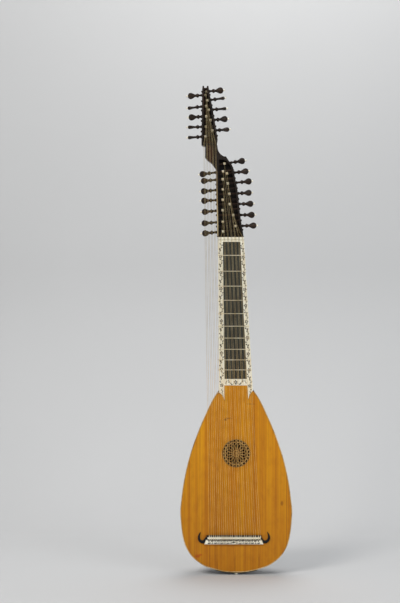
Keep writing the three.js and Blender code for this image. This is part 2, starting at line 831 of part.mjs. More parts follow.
const footCheekShare = 0.5;
const footCheekX = boxLeftX + lowerBoxWidth - cheekThickness * footCheekShare;
const lowerCavityTopShares = [[0.34, 0.828], [0.25, 0.84]];
const lowerCavityTop = lowerCavityTopShares.map(lowerPoint);
const lowerCavity = [
  [boxLeftX + cheekThickness, boxFootZ - cutOverrun],
  [footCheekX, boxFootZ - cutOverrun],
  [footCheekX, boxFootZ],
  ...lowerTrebleWall.slice(1, -1).map(([x, z]) => [x - cheekThickness, z]),
  ...lowerCavityTop,
  [boxLeftX + cheekThickness, lowerCavityTop.at(-1)[1]],
];
addPiece('lower_pegbox', pegbox(
  [
    ...lowerBassWall.slice(0, -1).reverse(), ...lowerTrebleWall, ...lowerTopShares.map(lowerPoint),
  ],
  lowerCavity,
  bores.lower,
), 'walnut');

const upperNutShare = 0.3159;
const upperNutZ = upperFootZ + upperBoxLength * upperNutShare;
const upperCavityFootZ = upperNutZ + upperNutDepth / 2 + glueGap * 3;
const upperCavityLeft = upperBassWall[0][0] + cheekThickness;
const upperCavityRight = upperTrebleWall[0][0] - cheekThickness;
const upperCavityTopShares = [
  { at: [0.57, 0.962], cheeks: -0.7 },
  { at: [0.938, 0.962], cheeks: 0.8 },
  { at: [0.932, 0.9], cheeks: 0.9 },
];
const upperCavity = [
  [upperCavityLeft, upperCavityFootZ],
  [upperCavityRight, upperCavityFootZ],
  ...upperTrebleWall.slice(1, -1).map(([x, z]) => [x - cheekThickness, z]),
  ...upperCavityTopShares.map(({ at, cheeks }) => {
    const [x, z] = upperPoint(at);
    return [x + cheeks * cheekThickness, z];
  }),
];
const upperOutlineShares = [
  ...upperRightShares, ...upperTopShares, ...upperLeftShares, ...upperFootShares,
];
addPiece('upper_pegbox', pegbox(
  upperOutlineShares.map(upperPoint),
  upperCavity,
  bores.upper,
), 'walnut');

const upperNutWidthShare = 0.9;
const upperNutLeft = upperRootX - upperBoxWidth * upperNutWidthShare;
const upperNutRight = upperRootX - glueGap;
const upperNutBack = boxFrontY - glueGap;
const upperNut = new THREE.BoxGeometry(
  upperNutRight - upperNutLeft, upperNutBack - nutFrontY, upperNutDepth);
upperNut.translate((upperNutLeft + upperNutRight) / 2, (upperNutBack + nutFrontY) / 2, upperNutZ);
addPiece('upper_nut', upperNut, 'ebony');

// Bridge: a dark tie block with a lower apron, and a thin scroll at each end
const bridgeBackY = -glueGap;
const bridgeLeft = bridgeOffset - bridgeLength / 2;
const bridgeRight = bridgeOffset + bridgeLength / 2;
const bridgeTopShare = 0.3;
const bridgeTopZ = tieZ + bridgeWidth * bridgeTopShare;
const bridgeFootZ = bridgeTopZ - bridgeWidth;
const apronShare = 0.5;
const apronHeightShare = 0.7;
const tieBlockTaperShare = 0.6;
const scrollReach = 20;
const scrollHeight = 38;
const scrollStock = 9;
const scrollSteps = 7;
const scrollOuterShares = [[-0.45, 0], [0.6, -0.12], [1.35, 0.5], [0.5, 0.92]];
const scrollInnerShares = [[0.4, 0.88], [0.85, 0.5], [0.5, 0.26], [-0.45, 0.24]];

function scrollShape(rootX, sign) {
  const side = (shares) => new THREE.CubicBezierCurve(...shares.map(([across, up]) => (
    new THREE.Vector2(rootX + sign * across * scrollReach, bridgeFootZ + up * scrollHeight)
  ))).getPoints(scrollSteps);
  return new THREE.Shape([...side(scrollOuterShares), ...side(scrollInnerShares)]);
}

const apronTopZ = bridgeFootZ + bridgeWidth * apronShare;
const apronHeight = bridgeHeight * apronHeightShare;
const tieBlock = plate(outlineShape([
  [bridgeLeft + scrollStock, apronTopZ],
  [bridgeRight - scrollStock, apronTopZ],
  [bridgeRight - scrollStock * tieBlockTaperShare, bridgeTopZ],
  [bridgeLeft + scrollStock * tieBlockTaperShare, bridgeTopZ],
]), bridgeBackY - bridgeHeight, bridgeHeight);
const apron = plate(outlineShape([
  [bridgeLeft, bridgeFootZ],
  [bridgeRight, bridgeFootZ],
  [bridgeRight - scrollStock / 2, apronTopZ + glueGap],
  [bridgeLeft + scrollStock / 2, apronTopZ + glueGap],
]), bridgeBackY - apronHeight, apronHeight);
const scrolls = [[bridgeLeft, -1], [bridgeRight, 1]].map(([x, sign]) => toSolid(
  plate(scrollShape(x, sign), bridgeBackY - scrollThickness, scrollThickness)));
const bridge = toSolid(tieBlock).add(toSolid(apron)).add(scrolls[0]).add(scrolls[1]);
addPiece('bridge', toGeometry(bridge), 'ebony');

const capLeft = bridgeLeft + scrollStock;
const capRightInsetShare = 0.8;
const capRight = bridgeRight - scrollStock * capRightInsetShare;
const capFrontY = bridgeBackY - bridgeHeight - glueGap - capThickness;
const cap = new THREE.BoxGeometry(capRight - capLeft, capThickness, capWidth);
cap.translate((capLeft + capRight) / 2, capFrontY + capThickness / 2, tieZ);
addPiece('bridge_cap', cap, 'ivory');

// Strings: paired courses from the tie row to the pegs, joined by the row of ties at the bridge
const stringSides = 5;
const bassCourses = 5;
const frettedCourses = 7;
const bassBridgeShares = [0.051, 0.366];
const frettedBridgeShares = [0.447, 0.972];
const bassNutShares = [0.033, 0.979];
const frettedNutShares = [0.099, 0.945];
const stringTieY = capFrontY - glueGap - stringRadius;
const stringFootShare = 0.9;
const stringFootZ = tieZ - capWidth * stringFootShare;

function stringGeometry(path) {
  return loft(path.map(({ x, y, z }) => {
    const ring = [];
    for (let i = 0; i < stringSides; i += 1) {
      const angle = Math.PI * 2 * i / stringSides;
      ring.push(new THREE.Vector3(
        x + stringRadius * Math.cos(angle), y + stringRadius * Math.sin(angle), z));
    }
    return ring;
  }));
}

const mix = (range, share) => range[0] + (range[1] - range[0]) * share;
const capX = (share) => capLeft + (capRight - capLeft) * share;

// The far end of a string lies just over the shank of its own peg
const cheekInset = stringRadius * 3;

function pegEnd(row, index) {
  const { origin, direction } = pegPlace(row, index);
  const z = boxFoot[row.box] + row.heightShares[index] * boxLength[row.box];
  const isLower = row.box === 'lower';
  const left = wallAt(isLower ? lowerBassWall : upperBassWall, z).x + cheekThickness;
  const right = wallAt(isLower ? lowerTrebleWall : upperTrebleWall, z).x - cheekThickness;
  const x = left + cheekInset + (right - left - cheekInset * 2) * row.ends[index];
  const axisZ = origin.z + (x - origin.x) * direction.z / direction.x;
  return new THREE.Vector3(x, pegAxisY - pegShankRadius - glueGap - stringRadius, axisZ);
}

function stringPath(bridgeX, nutX, nutTopZ, end) {
  return [
    new THREE.Vector3(bridgeX, stringTieY, stringFootZ),
    new THREE.Vector3(bridgeX, stringTieY, tieZ + capWidth),
    new THREE.Vector3(nutX, -stringLiftAtNut, nutTopZ),
    end,
  ];
}

const strings = [];
const frettedCount = frettedCourses * 2;
for (let i = 0; i < frettedCount; i += 1) {
  const course = Math.floor(i / 2) / (frettedCourses - 1);
  const half = (i % 2) - 1 / 2;
  const bass = i < frettedCourses;
  const row = bass ? pegRows[0] : pegRows[1];
  const index = bass ? i : frettedCount - 1 - i;
  strings.push(stringPath(
    capX(mix(frettedBridgeShares, course)) + half * pairStepAtBridge,
    neckLeft(nutZ) + neckNutWidth * mix(frettedNutShares, course) + half * pairStepAtNut,
    nutZ + nutWidth / 2,
    pegEnd(row, index),
  ));
}
const bassCount = bassCourses * 2;
for (let i = 0; i < bassCount; i += 1) {
  const course = Math.floor(i / 2) / (bassCourses - 1);
  const half = (i % 2) - 1 / 2;
  const bass = i < bassCourses;
  const row = bass ? pegRows[2] : pegRows[3];
  const index = bass ? i : bassCount - 1 - i;
  strings.push(stringPath(
    capX(mix(bassBridgeShares, course)) + half * pairStepAtBridge,
    mix([upperCavityLeft, upperCavityRight], mix(bassNutShares, course)) + half * pairStepAtNut,
    upperNutZ + upperNutDepth / 2,
    pegEnd(row, index),
  ));
}

const tieRowRadiusShare = 1.6;
const tieRowHeightShare = 0.8;
const tieRowRadius = stringRadius * tieRowRadiusShare;
const tieRow = new THREE.CylinderGeometry(
  tieRowRadius, tieRowRadius, capRight - capLeft, stringSides + 1);
tieRow.rotateZ(Math.PI / 2);
tieRow.translate((capLeft + capRight) / 2, stringTieY, tieZ + capWidth * tieRowHeightShare);
let stringBand = toSolid(tieRow);
for (const path of strings) {
  stringBand = stringBand.add(toSolid(stringGeometry(path)));
}
addPiece('strings', toGeometry(stringBand), 'gut');

// The whole instrument stands with its origin at the middle of the end button's flat face
instrument.position.set(0, -(rimY + buttonInset), buttonLength - buttonTopZ);
const theorbo = new THREE.Group();
theorbo.add(instrument);

export default theorbo;
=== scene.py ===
# Theorbo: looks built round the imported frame, in metres.
# The soundboard faces -Y, the neck runs up +Z and the bass side is at -X.
# Places are worked out with y = 0 at the face of the soundboard and z = 0 at the foot of the outline,
# and make_piece() moves them into the frame.

import json
import math
import random

import bmesh
import bpy
from mathutils import Matrix, Vector


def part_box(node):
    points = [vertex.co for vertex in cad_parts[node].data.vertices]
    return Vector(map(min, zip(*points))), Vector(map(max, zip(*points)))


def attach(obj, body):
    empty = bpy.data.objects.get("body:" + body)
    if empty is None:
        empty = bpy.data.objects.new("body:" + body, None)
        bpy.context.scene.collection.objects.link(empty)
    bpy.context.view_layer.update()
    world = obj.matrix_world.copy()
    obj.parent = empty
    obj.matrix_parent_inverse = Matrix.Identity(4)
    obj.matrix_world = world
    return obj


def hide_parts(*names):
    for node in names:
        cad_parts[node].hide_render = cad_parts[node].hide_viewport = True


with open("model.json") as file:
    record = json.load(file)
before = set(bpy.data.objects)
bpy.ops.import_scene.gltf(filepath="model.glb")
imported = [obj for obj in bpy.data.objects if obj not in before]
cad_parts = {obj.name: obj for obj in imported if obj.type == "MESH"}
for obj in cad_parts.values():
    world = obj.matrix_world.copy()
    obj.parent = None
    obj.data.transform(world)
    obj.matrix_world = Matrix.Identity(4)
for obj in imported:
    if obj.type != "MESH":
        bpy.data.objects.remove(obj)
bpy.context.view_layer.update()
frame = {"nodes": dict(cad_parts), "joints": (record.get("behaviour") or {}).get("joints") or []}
scene = bpy.context.scene
MM = 0.001

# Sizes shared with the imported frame
BODY_LENGTH = 0.513
BODY_WIDTH = 0.313
BOWL_DEPTH = 0.145
RIB_COUNT = 9
RIB_THICKNESS = 0.002
BOARD_THICKNESS = 0.002
BINDING_WIDTH = 0.0022
ROSE_DIAMETER = 0.079
NECK_LENGTH = 0.4243
NECK_FOOT_WIDTH = 0.095
NECK_NUT_WIDTH = 0.0725
NECK_FOOT_OFFSET = -0.0008
NECK_NUT_OFFSET = -0.01445
NECK_DEPTH = 0.024
FRET_COUNT = 10
GLUE_GAP = 0.0003
NUT_WIDTH = 0.008
STRING_LIFT_AT_NUT = 0.0032
RIM_Y = BOARD_THICKNESS + GLUE_GAP
BOWL_RATIO = BOWL_DEPTH / (BODY_WIDTH / 2)

face_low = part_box("soundboard")[0]
button_low, button_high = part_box("end_button")
nut_low, nut_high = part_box("nut")
upper_nut_low, upper_nut_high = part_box("upper_nut")
NUT_Z_IN_FRAME = (nut_low.z + nut_high.z) / 2
NUT_Z = BODY_LENGTH + NECK_LENGTH
SHIFT = Vector((0, face_low.y, NUT_Z_IN_FRAME - NUT_Z))
UPPER_NUT_Z = (upper_nut_low.z + upper_nut_high.z) / 2 - SHIFT.z
UPPER_NUT_WIDTH = upper_nut_high.z - upper_nut_low.z

# Camera and stage

PHOTO_HEIGHT_M = 1.688
PHOTO_CENTRE_X = -0.1014
PHOTO_CENTRE_Z = 0.761
CAMERA_DISTANCE = 4.2
SENSOR = 36

camera_data = bpy.data.cameras.new("camera")
camera_data.sensor_width = SENSOR
camera_data.lens = SENSOR * CAMERA_DISTANCE / PHOTO_HEIGHT_M
camera = bpy.data.objects.new("camera", camera_data)
camera.location = (PHOTO_CENTRE_X, face_low.y - CAMERA_DISTANCE, PHOTO_CENTRE_Z + SHIFT.z)
camera.rotation_euler = (math.radians(90), 0, 0)
scene.collection.objects.link(camera)
scene.camera = camera
scene.view_settings.view_transform = "Standard"


def add_node(tree, kind, settings=None, **inputs):
    node = tree.nodes.new(kind)
    for key, value in (settings or {}).items():
        setattr(node, key, value)
    for key, value in inputs.items():
        socket = node.inputs[key.replace("_", " ")]
        if isinstance(value, bpy.types.NodeSocket):
            tree.links.new(value, socket)
        else:
            socket.default_value = value
    return node


def linear(red, green, blue):
    """An sRGB colour of 0 to 255 as the linear colour that a socket takes."""
    parts = []
    for part in (red, green, blue):
        share = part / 255
        parts.append(share / 12.92 if share <= 0.04045 else ((share + 0.055) / 1.055) ** 2.4)
    return (*parts, 1)


def coordinates(tree, frequency, centre=(0, 0, 0)):
    """Object coordinates about a centre, times a frequency for each axis."""
    place = add_node(tree, "ShaderNodeTexCoord")
    location = [-c * f for c, f in zip(centre, frequency)]
    mapping = add_node(
        tree, "ShaderNodeMapping", Vector=place.outputs["Object"], Scale=frequency, Location=location
    )
    return mapping.outputs["Vector"]


def noise_field(tree, frequency, detail=4, roughness=0.5, distortion=0.0):
    vector = coordinates(tree, frequency)
    node = add_node(
        tree, "ShaderNodeTexNoise", Vector=vector, Scale=1.0, Detail=detail,
        Roughness=roughness, Distortion=distortion,
    )
    return node.outputs[0]


def spot_field(tree, centre, radii):
    """One at the centre, falling to zero at the radii."""
    vector = coordinates(tree, [1 / r for r in radii], centre)
    settings = {"gradient_type": "SPHERICAL"}
    return add_node(tree, "ShaderNodeTexGradient", settings, Vector=vector).outputs[1]


def height_field(tree):
    place = coordinates(tree, (1, 1, 1))
    return add_node(tree, "ShaderNodeSeparateXYZ", Vector=place).outputs["Z"]


def ramp(tree, factor, stops):
    node = add_node(tree, "ShaderNodeValToRGB", Fac=factor)
    elements = node.color_ramp.elements
    while len(elements) < len(stops):
        elements.new(0.5)
    for element, (position, colour) in zip(elements, stops):
        element.position = position
        element.color = colour
    return node.outputs["Color"]


def multiply(tree, colour, strength, tint):
    """A colour times a tint, mixed in with a strength."""
    node = tree.nodes.new("ShaderNodeMix")
    node.data_type = "RGBA"
    node.blend_type = "MULTIPLY"
    for index, value in ((0, strength), (6, colour), (7, tint)):
        if isinstance(value, bpy.types.NodeSocket):
            tree.links.new(value, node.inputs[index])
        else:
            node.inputs[index].default_value = value
    return node.outputs[2]


def span(tree, factor, low, high, from_low=0.0, from_high=1.0):
    return add_node(
        tree, "ShaderNodeMapRange", Value=factor, From_Min=from_low, From_Max=from_high,
        To_Min=low, To_Max=high,
    ).outputs["Result"]


WHITE = (1, 1, 1, 1)


def grey(value):
    return (value, value, value, 1)


def new_material(name):
    material = bpy.data.materials.new(name)
    material.use_nodes = True
    tree = material.node_tree
    return material, tree, tree.nodes["Principled BSDF"]


def finish_material(tree, shader, colour, roughness, height, distance, coat=0.0, coat_roughness=0.2):
    tree.links.new(colour, shader.inputs["Base Color"])
    tree.links.new(roughness, shader.inputs["Roughness"])
    bump = add_node(tree, "ShaderNodeBump", Strength=0.5, Distance=distance, Height=height)
    tree.links.new(bump.outputs["Normal"], shader.inputs["Normal"])
    shader.inputs["Coat Weight"].default_value = coat
    shader.inputs["Coat Roughness"].default_value = coat_roughness


def wood(
    name, dark, middle, light, grain, blotch, gloss=(0.35, 0.55), depth=0.1 * MM, coat=0.0, sheen=0.5,
):
    """Wood whose grain and blotches have a frequency per metre for each axis."""
    material, tree, shader = new_material(name)
    lines = noise_field(tree, grain, detail=7, roughness=0.62, distortion=0.3)
    fine = noise_field(tree, [g * 3.7 for g in grain], detail=3)
    patches = noise_field(tree, blotch, detail=3)
    colour = ramp(tree, lines, [(0.3, dark), (0.5, middle), (0.72, light)])
    colour = multiply(tree, colour, 0.6, ramp(tree, fine, [(0.36, grey(0.55)), (0.5, WHITE)]))
    colour = multiply(tree, colour, 0.8, ramp(tree, patches, [(0.3, grey(0.62)), (0.7, WHITE)]))
    finish_material(tree, shader, colour, span(tree, lines, *gloss), fine, depth, coat)
    shader.inputs["Specular IOR Level"].default_value = sheen
    return material


LOW_SHADE_HEIGHTS = (0.02, 0.34)


def spruce(name, dark, middle, light, gloss=(0.42, 0.6)):
    """Old varnished spruce: fine upright growth lines, broad streaks, worn and dirty places."""
    material, tree, shader = new_material(name)
    growth = noise_field(tree, (620, 20, 1.6), detail=5, roughness=0.6)
    streaks = noise_field(tree, (95, 20, 1.1), detail=4, roughness=0.55)
    broad = noise_field(tree, (17, 20, 2.4), detail=4, roughness=0.55, distortion=0.4)
    mottling = noise_field(tree, (60, 20, 30), detail=5, roughness=0.6)
    colour = ramp(tree, streaks, [(0.2, dark), (0.45, middle), (0.8, light)])
    winters = noise_field(tree, (210, 20, 0.9), detail=2, roughness=0.4)
    low_share = span(tree, height_field(tree), 0, 1, *LOW_SHADE_HEIGHTS)
    for strength, field, start, tint, end in (
        (0.6, growth, 0.3, grey(0.5), 0.5),
        (0.6, broad, 0.25, (0.84, 0.76, 0.6, 1), 0.6),
        (0.75, winters, 0.27, (0.6, 0.45, 0.3, 1), 0.36),
        (0.5, mottling, 0.3, (0.78, 0.68, 0.55, 1), 0.55),
        (1.0, low_share, 0, (0.8, 0.74, 0.66, 1), 1),
    ):
        colour = multiply(tree, colour, strength, ramp(tree, field, [(start, tint), (end, WHITE)]))
    for centre, radii, tint, strength in BOARD_STAINS:
        mask = span(tree, spot_field(tree, Vector(centre) + SHIFT, radii), 0, strength, 0, 0.6)
        colour = multiply(tree, colour, mask, tint)
    finish_material(tree, shader, colour, span(tree, broad, *gloss), growth, 0.08 * MM, 0.06)
    shader.inputs["Specular IOR Level"].default_value = 0.3
    return material


DIRT_TINT = (0.5, 0.38, 0.24, 1)
RED_TINT = (0.85, 0.45, 0.2, 1)
DARK_TINT = (0.3, 0.2, 0.12, 1)
WIDE = 0.05
BOARD_STAINS = [
    ((-0.0007, 0, 0.3357), (0.055, WIDE, 0.055), DIRT_TINT, 0.5),
    ((-0.0067, 0, 0.094), (0.12, WIDE, 0.024), DIRT_TINT, 0.6),
    ((-0.108, 0, 0.048), (0.010, WIDE, 0.006), RED_TINT, 0.9),
    ((-0.100, 0, 0.052), (0.007, WIDE, 0.004), RED_TINT, 0.8),
    ((0.128, 0, 0.196), (0.005, WIDE, 0.009), DARK_TINT, 0.6),
    ((-0.030, 0, 0.430), (0.006, WIDE, 0.004), DARK_TINT, 0.7),
    ((-0.022, 0, 0.434), (0.012, WIDE, 0.003), DARK_TINT, 0.5),
    ((-0.052, 0, 0.505), (0.006, WIDE, 0.006), DARK_TINT, 0.6),
    ((0.040, 0, 0.474), (0.016, WIDE, 0.003), DIRT_TINT, 0.5),
    ((-0.053, 0, 0.012), (0.0016, WIDE, 0.030), DARK_TINT, 0.5),
    ((-0.004, 0, 0.020), (0.0018, WIDE, 0.045), DARK_TINT, 0.45),
    ((0.064, 0, 0.036), (0.0016, WIDE, 0.026), DARK_TINT, 0.45),
]


# Where handling has dulled the stringing, where light is painted into the strings, and where light is
# painted into the head
DULL_HEIGHTS = (1.0, 1.14)
# painted light: strings warm with the soundboard's reflected light, grey over the dark fingerboard, darker
# in the shade of the pegboxes
STRING_PAINTED_LIGHT_ZONES = (
    (0.55, (1, 0.86, 0.62, 1)), (0.66, (0.62, 0.62, 0.62, 1)), (0.93, (0.62, 0.62, 0.62, 1)),
    (0.96, (0.5, 0.52, 0.52, 1)),
)
LIT_WOOD = (3.2, 1.9, 1.25, 1)
# painted light: spots inside the upper head where the wood is brightened as if lit
HEAD_PAINTED_LIGHT = [
    ((-0.0865, 0.02, 1.325), (0.009, WIDE, 0.06)),
    ((-0.0805, 0.02, 1.245), (0.014, WIDE, 0.07)),
    ((-0.0745, 0.02, 1.175), (0.017, WIDE, 0.05)),
]


def head_wood_with_painted_light(name, dark, middle, light):
    """Dark stained wood, with painted light: warm brown spots where light falls inside the upper head and
    below it.
    """
    material = wood(name, dark, middle, light, LENGTHWISE, (30, 30, 12), (0.4, 0.6), 0.1 * MM, 0.05)
    tree = material.node_tree
    shader = tree.nodes["Principled BSDF"]
    shader.inputs["Specular IOR Level"].default_value = 0.25
    colour = shader.inputs["Base Color"].links[0].from_socket
    # painted light: each spot brightens the wood where the inside of the upper head is lit
    for centre, radii in HEAD_PAINTED_LIGHT:
        mask = span(tree, spot_field(tree, Vector(centre) + SHIFT, radii), 0, 1, 0.1, 0.5)
        colour = multiply(tree, colour, mask, LIT_WOOD)
    tree.links.new(colour, shader.inputs["Base Color"])
    return material


def dulled_stringing(name):
    """Pale wood at the foot of the head, brown with handling farther up."""
    material = wood(name, linear(186, 160, 112), linear(228, 206, 160), linear(248, 232, 196),
                    LENGTHWISE, (30, 30, 20), (0.4, 0.6), 0.05 * MM)
    tree = material.node_tree
    shader = tree.nodes["Principled BSDF"]
    colour = shader.inputs["Base Color"].links[0].from_socket
    share = span(tree, height_field(tree), 0, 1, *DULL_HEIGHTS)
    dull = ramp(tree, share, [(0, WHITE), (0.35, (0.55, 0.46, 0.36, 1)), (1, (0.2, 0.15, 0.11, 1))])
    colour = multiply(tree, colour, 1.0, dull)
    tree.links.new(colour, shader.inputs["Base Color"])
    return material


def ivory(name, dark, light, gloss=(0.28, 0.5)):
    """Old ivory: fine streaks along its length, yellowed and dirty places."""
    material, tree, shader = new_material(name)
    streaks = noise_field(tree, (420, 420, 26), detail=5, roughness=0.6)
    age = noise_field(tree, (34, 34, 22), detail=5, roughness=0.6)
    cracks = noise_field(tree, (1500, 1500, 40), detail=2)
    colour = ramp(tree, streaks, [(0.3, dark), (0.6, light)])
    yellow = ramp(tree, age, [(0.34, (0.84, 0.75, 0.58, 1)), (0.56, WHITE)])
    colour = multiply(tree, colour, 0.45, yellow)
    colour = multiply(tree, colour, 0.4, ramp(tree, cracks, [(0.24, grey(0.5)), (0.32, WHITE)]))
    finish_material(tree, shader, colour, span(tree, age, *gloss), streaks, 0.05 * MM, 0.2)
    return material


def gut(name, dark, light, zones=((0, WHITE), (1, WHITE))):
    """Twisted gut: a little translucent, unevenly twisted, with the light around it painted into its tint by
    height.
    """
    material, tree, shader = new_material(name)
    twist = noise_field(tree, (900, 900, 240), detail=3)
    stain = noise_field(tree, (60, 60, 45), detail=3)
    colour = ramp(tree, stain, [(0.35, dark), (0.6, light)])
    colour = multiply(tree, colour, 1.0, ramp(tree, height_field(tree), zones))
    finish_material(tree, shader, colour, span(tree, twist, 0.3, 0.55), twist, 0.05 * MM)
    shader.inputs["Subsurface Weight"].default_value = 0.15
    shader.inputs["Subsurface Radius"].default_value = (0.4 * MM, 0.3 * MM, 0.2 * MM)
    return material


def stage_material(name, colour):
    """Pale paper that the camera sees through from behind, so that it hides no side of the object."""
    material, tree, shader = new_material(name)
    behind = add_node(tree, "ShaderNodeNewGeometry").outputs["Backfacing"]
    seen = add_node(tree, "ShaderNodeLightPath").outputs["Is Camera Ray"]
    hidden = add_node(tree, "ShaderNodeMath", {"operation": "MULTIPLY"})
    tree.links.new(behind, hidden.inputs[0])
    tree.links.new(seen, hidden.inputs[1])
    clear = add_node(tree, "ShaderNodeBsdfTransparent")
    mixed = add_node(tree, "ShaderNodeMixShader")
    output = next(node for node in tree.nodes if node.type == "OUTPUT_MATERIAL")
    tree.links.new(hidden.outputs[0], mixed.inputs[0])
    tree.links.new(shader.outputs[0], mixed.inputs[1])
    tree.links.new(clear.outputs[0], mixed.inputs[2])
    tree.links.new(mixed.outputs[0], output.inputs["Surface"])
    soft = noise_field(tree, (1.1, 1.1, 1.1), detail=2)
    tones = ramp(tree, soft, [(0.3, [c * 0.97 for c in colour[:3]] + [1]), (0.7, colour)])
    tree.links.new(tones, shader.inputs["Base Color"])
    shader.inputs["Roughness"].default_value = 0.9
    return material


LENGTHWISE = (240, 240, 7)
ACROSS = (9, 260, 260)
materials = {
    "spruce": (
        spruce("aged_spruce", linear(184, 108, 0), linear(212, 138, 1), linear(228, 160, 8)),
        "soundboard_spruce",
    ),
    # painted light: the rose's spruce is paler than the board's to make up for the shade the rose lies in
    "rose": (
        spruce("rose_spruce", linear(150, 108, 48), linear(196, 150, 78), linear(222, 182, 112)),
        "soundboard_spruce",
    ),
    "rib": (
        wood("rib_hardwood", linear(34, 14, 8), linear(62, 27, 15), linear(92, 44, 24),
             (180, 180, 6), (14, 14, 9), (0.22, 0.4), 0.05 * MM, 0.45),
        "rib_wood",
    ),
    "head": (
        head_wood_with_painted_light("head_hardwood", linear(17, 12, 9), linear(33, 24, 17), linear(56, 41, 28)),
        "head_wood",
    ),
    "peg": (
        wood("peg_hardwood", linear(18, 12, 7), linear(40, 26, 15), linear(74, 49, 29),
             ACROSS, (60, 60, 60), (0.45, 0.62), 0.05 * MM, 0.0, 0.25),
        "peg_wood",
    ),
    "ebony": (
        wood("ebony", linear(12, 10, 8), linear(24, 20, 16), linear(42, 36, 28),
             (300, 300, 9), (26, 26, 14), (0.4, 0.6), 0.05 * MM, 0.0, 0.25),
        "ebony",
    ),
    # painted sheen: the panel's ebony is painted a lighter grey to stand for the sheen on it
    "worn_ebony": (
        wood("worn_ebony", linear(34, 34, 28), linear(56, 56, 47), linear(84, 83, 70),
             (300, 300, 9), (26, 26, 14), (0.35, 0.55), 0.05 * MM, 0.1, 0.4),
        "ebony",
    ),
    "binding": (
        wood("yellowed_binding", linear(178, 132, 66), linear(220, 180, 112), linear(244, 216, 160),
             (40, 40, 16), (12, 12, 7), (0.35, 0.55), 0.05 * MM, 0.1),
        "ivory",
    ),
    "softwood": (
        wood("inner_softwood", linear(150, 108, 62), linear(186, 143, 90), linear(205, 166, 112),
             (260, 260, 12), (20, 20, 20), (0.6, 0.8), 0.1 * MM),
        "inner_softwood",
    ),
    "ivory": (ivory("old_ivory", linear(244, 230, 194), linear(255, 252, 236)), "ivory"),
    "ink": (
        wood("engraved_dark_filling", linear(26, 20, 14), linear(46, 37, 26), linear(78, 64, 46),
             (300, 300, 300), (40, 40, 40), (0.5, 0.7), 0.02 * MM),
        "ebony",
    ),
    "gut": (gut("gut", linear(214, 196, 156), linear(248, 238, 212)), "gut"),
    "string": (gut("string_gut", linear(188, 156, 96), linear(230, 204, 148), STRING_PAINTED_LIGHT_ZONES), "gut"),
    "boxwood": (dulled_stringing("pale_stringing"), "ivory"),
}


# Shapes

MERGE_DISTANCE = 0.001 * MM


class Shape:
    """Points and faces that parts of a piece are added to."""

    def __init__(self):
        self.points = []
        self.faces = []

    def add(self, points, faces):
        base = len(self.points)
        self.points += [Vector(p) for p in points]
        self.faces += [[base + i for i in face] for face in faces]
        return self

    def rings(self, rings, is_loop=False):
        count = len(rings[0])
        faces = []
        for band in range(len(rings) if is_loop else len(rings) - 1):
            low = band * count
            high = (band + 1) % len(rings) * count
            for i in range(count):
                j = (i + 1) % count
                faces.append([low + i, low + j, high + j, high + i])
        if not is_loop:
            faces.append(list(range(count))[::-1])
            faces.append([(len(rings) - 1) * count + i for i in range(count)])
        return self.add([p for ring in rings for p in ring], faces)


def circle(count):
    """Angles of a full turn in equal steps."""
    return [2 * math.pi * step / count for step in range(count)]


def new_mesh(name, shape):
    mesh = bpy.data.meshes.new(name)
    mesh.from_pydata([p + SHIFT for p in shape.points], [], shape.faces)
    return mesh


def with_outward_faces(mesh, merge_distance=0.0):
    work = bmesh.new()
    work.from_mesh(mesh)
    if merge_distance:
        bmesh.ops.remove_doubles(work, verts=work.verts, dist=merge_distance)
    bmesh.ops.recalc_face_normals(work, faces=work.faces)
    work.to_mesh(mesh)
    work.free()
    return mesh


def new_object(name, data):
    item = bpy.data.objects.new(name, data)
    scene.collection.objects.link(item)
    return item


def evaluated_mesh(item):
    """The mesh of a curve, or of an object with its modifiers applied."""
    graph = bpy.context.evaluated_depsgraph_get()
    return bpy.data.meshes.new_from_object(item.evaluated_get(graph))


def cut_mesh(item, cutters):
    """The mesh of an object with other objects cut from it, which are then removed."""
    for cutter in cutters:
        cut = item.modifiers.new("cut", "BOOLEAN")
        cut.operation = "DIFFERENCE"
        cut.solver = "EXACT"
        cut.object = cutter
    bpy.context.view_layer.update()
    mesh = evaluated_mesh(item)
    item.modifiers.clear()
    for cutter in cutters:
        bpy.data.objects.remove(cutter)
    return mesh


def make_piece(name, shape, finish, body="root", stands_for=(), sharp_angle=38, bevel=0.0):
    mesh = with_outward_faces(new_mesh(name, shape), MERGE_DISTANCE)
    return place_piece(name, mesh, finish, body, stands_for, sharp_angle, bevel)


def place_piece(name, mesh, finish, body, stands_for, sharp_angle, bevel=0.0):
    mesh.name = name
    piece = new_object(name, mesh)
    if bevel:
        edges = piece.modifiers.new("edges", "BEVEL")
        edges.width = bevel
        edges.segments = 2
        edges.angle_limit = math.radians(sharp_angle)
    mesh.shade_smooth()
    mesh.set_sharp_from_angle(angle=math.radians(sharp_angle))
    material, slot = materials[finish]
    mesh.materials.clear()
    mesh.materials.append(material)
    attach(piece, body)
    if stands_for:
        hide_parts(*stands_for)
    return piece


def keep_node(name, finish):
    """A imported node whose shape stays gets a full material."""
    node = frame["nodes"][name]
    material, slot = materials[finish]
    node.data.materials.clear()
    node.data.materials.append(material)


def tube(points, radius, sides=8, is_loop=False, radii=None):
    """Rings of a round tube along points, carried along without twist."""
    points = [Vector(p) for p in points]
    count = len(points)
    rings = []
    side = None
    for i, point in enumerate(points):
        before = points[i - 1] if i or is_loop else point
        after = points[(i + 1) % count] if i + 1 < count or is_loop else point
        along = (after - before).normalized()
        if side is None:
            side = along.orthogonal().normalized()
        side = (side - along * side.dot(along)).normalized()
        other = along.cross(side)
        r = radii[i] if radii else radius
        rings.append([point + (side * math.cos(a) + other * math.sin(a)) * r for a in circle(sides)])
    return rings


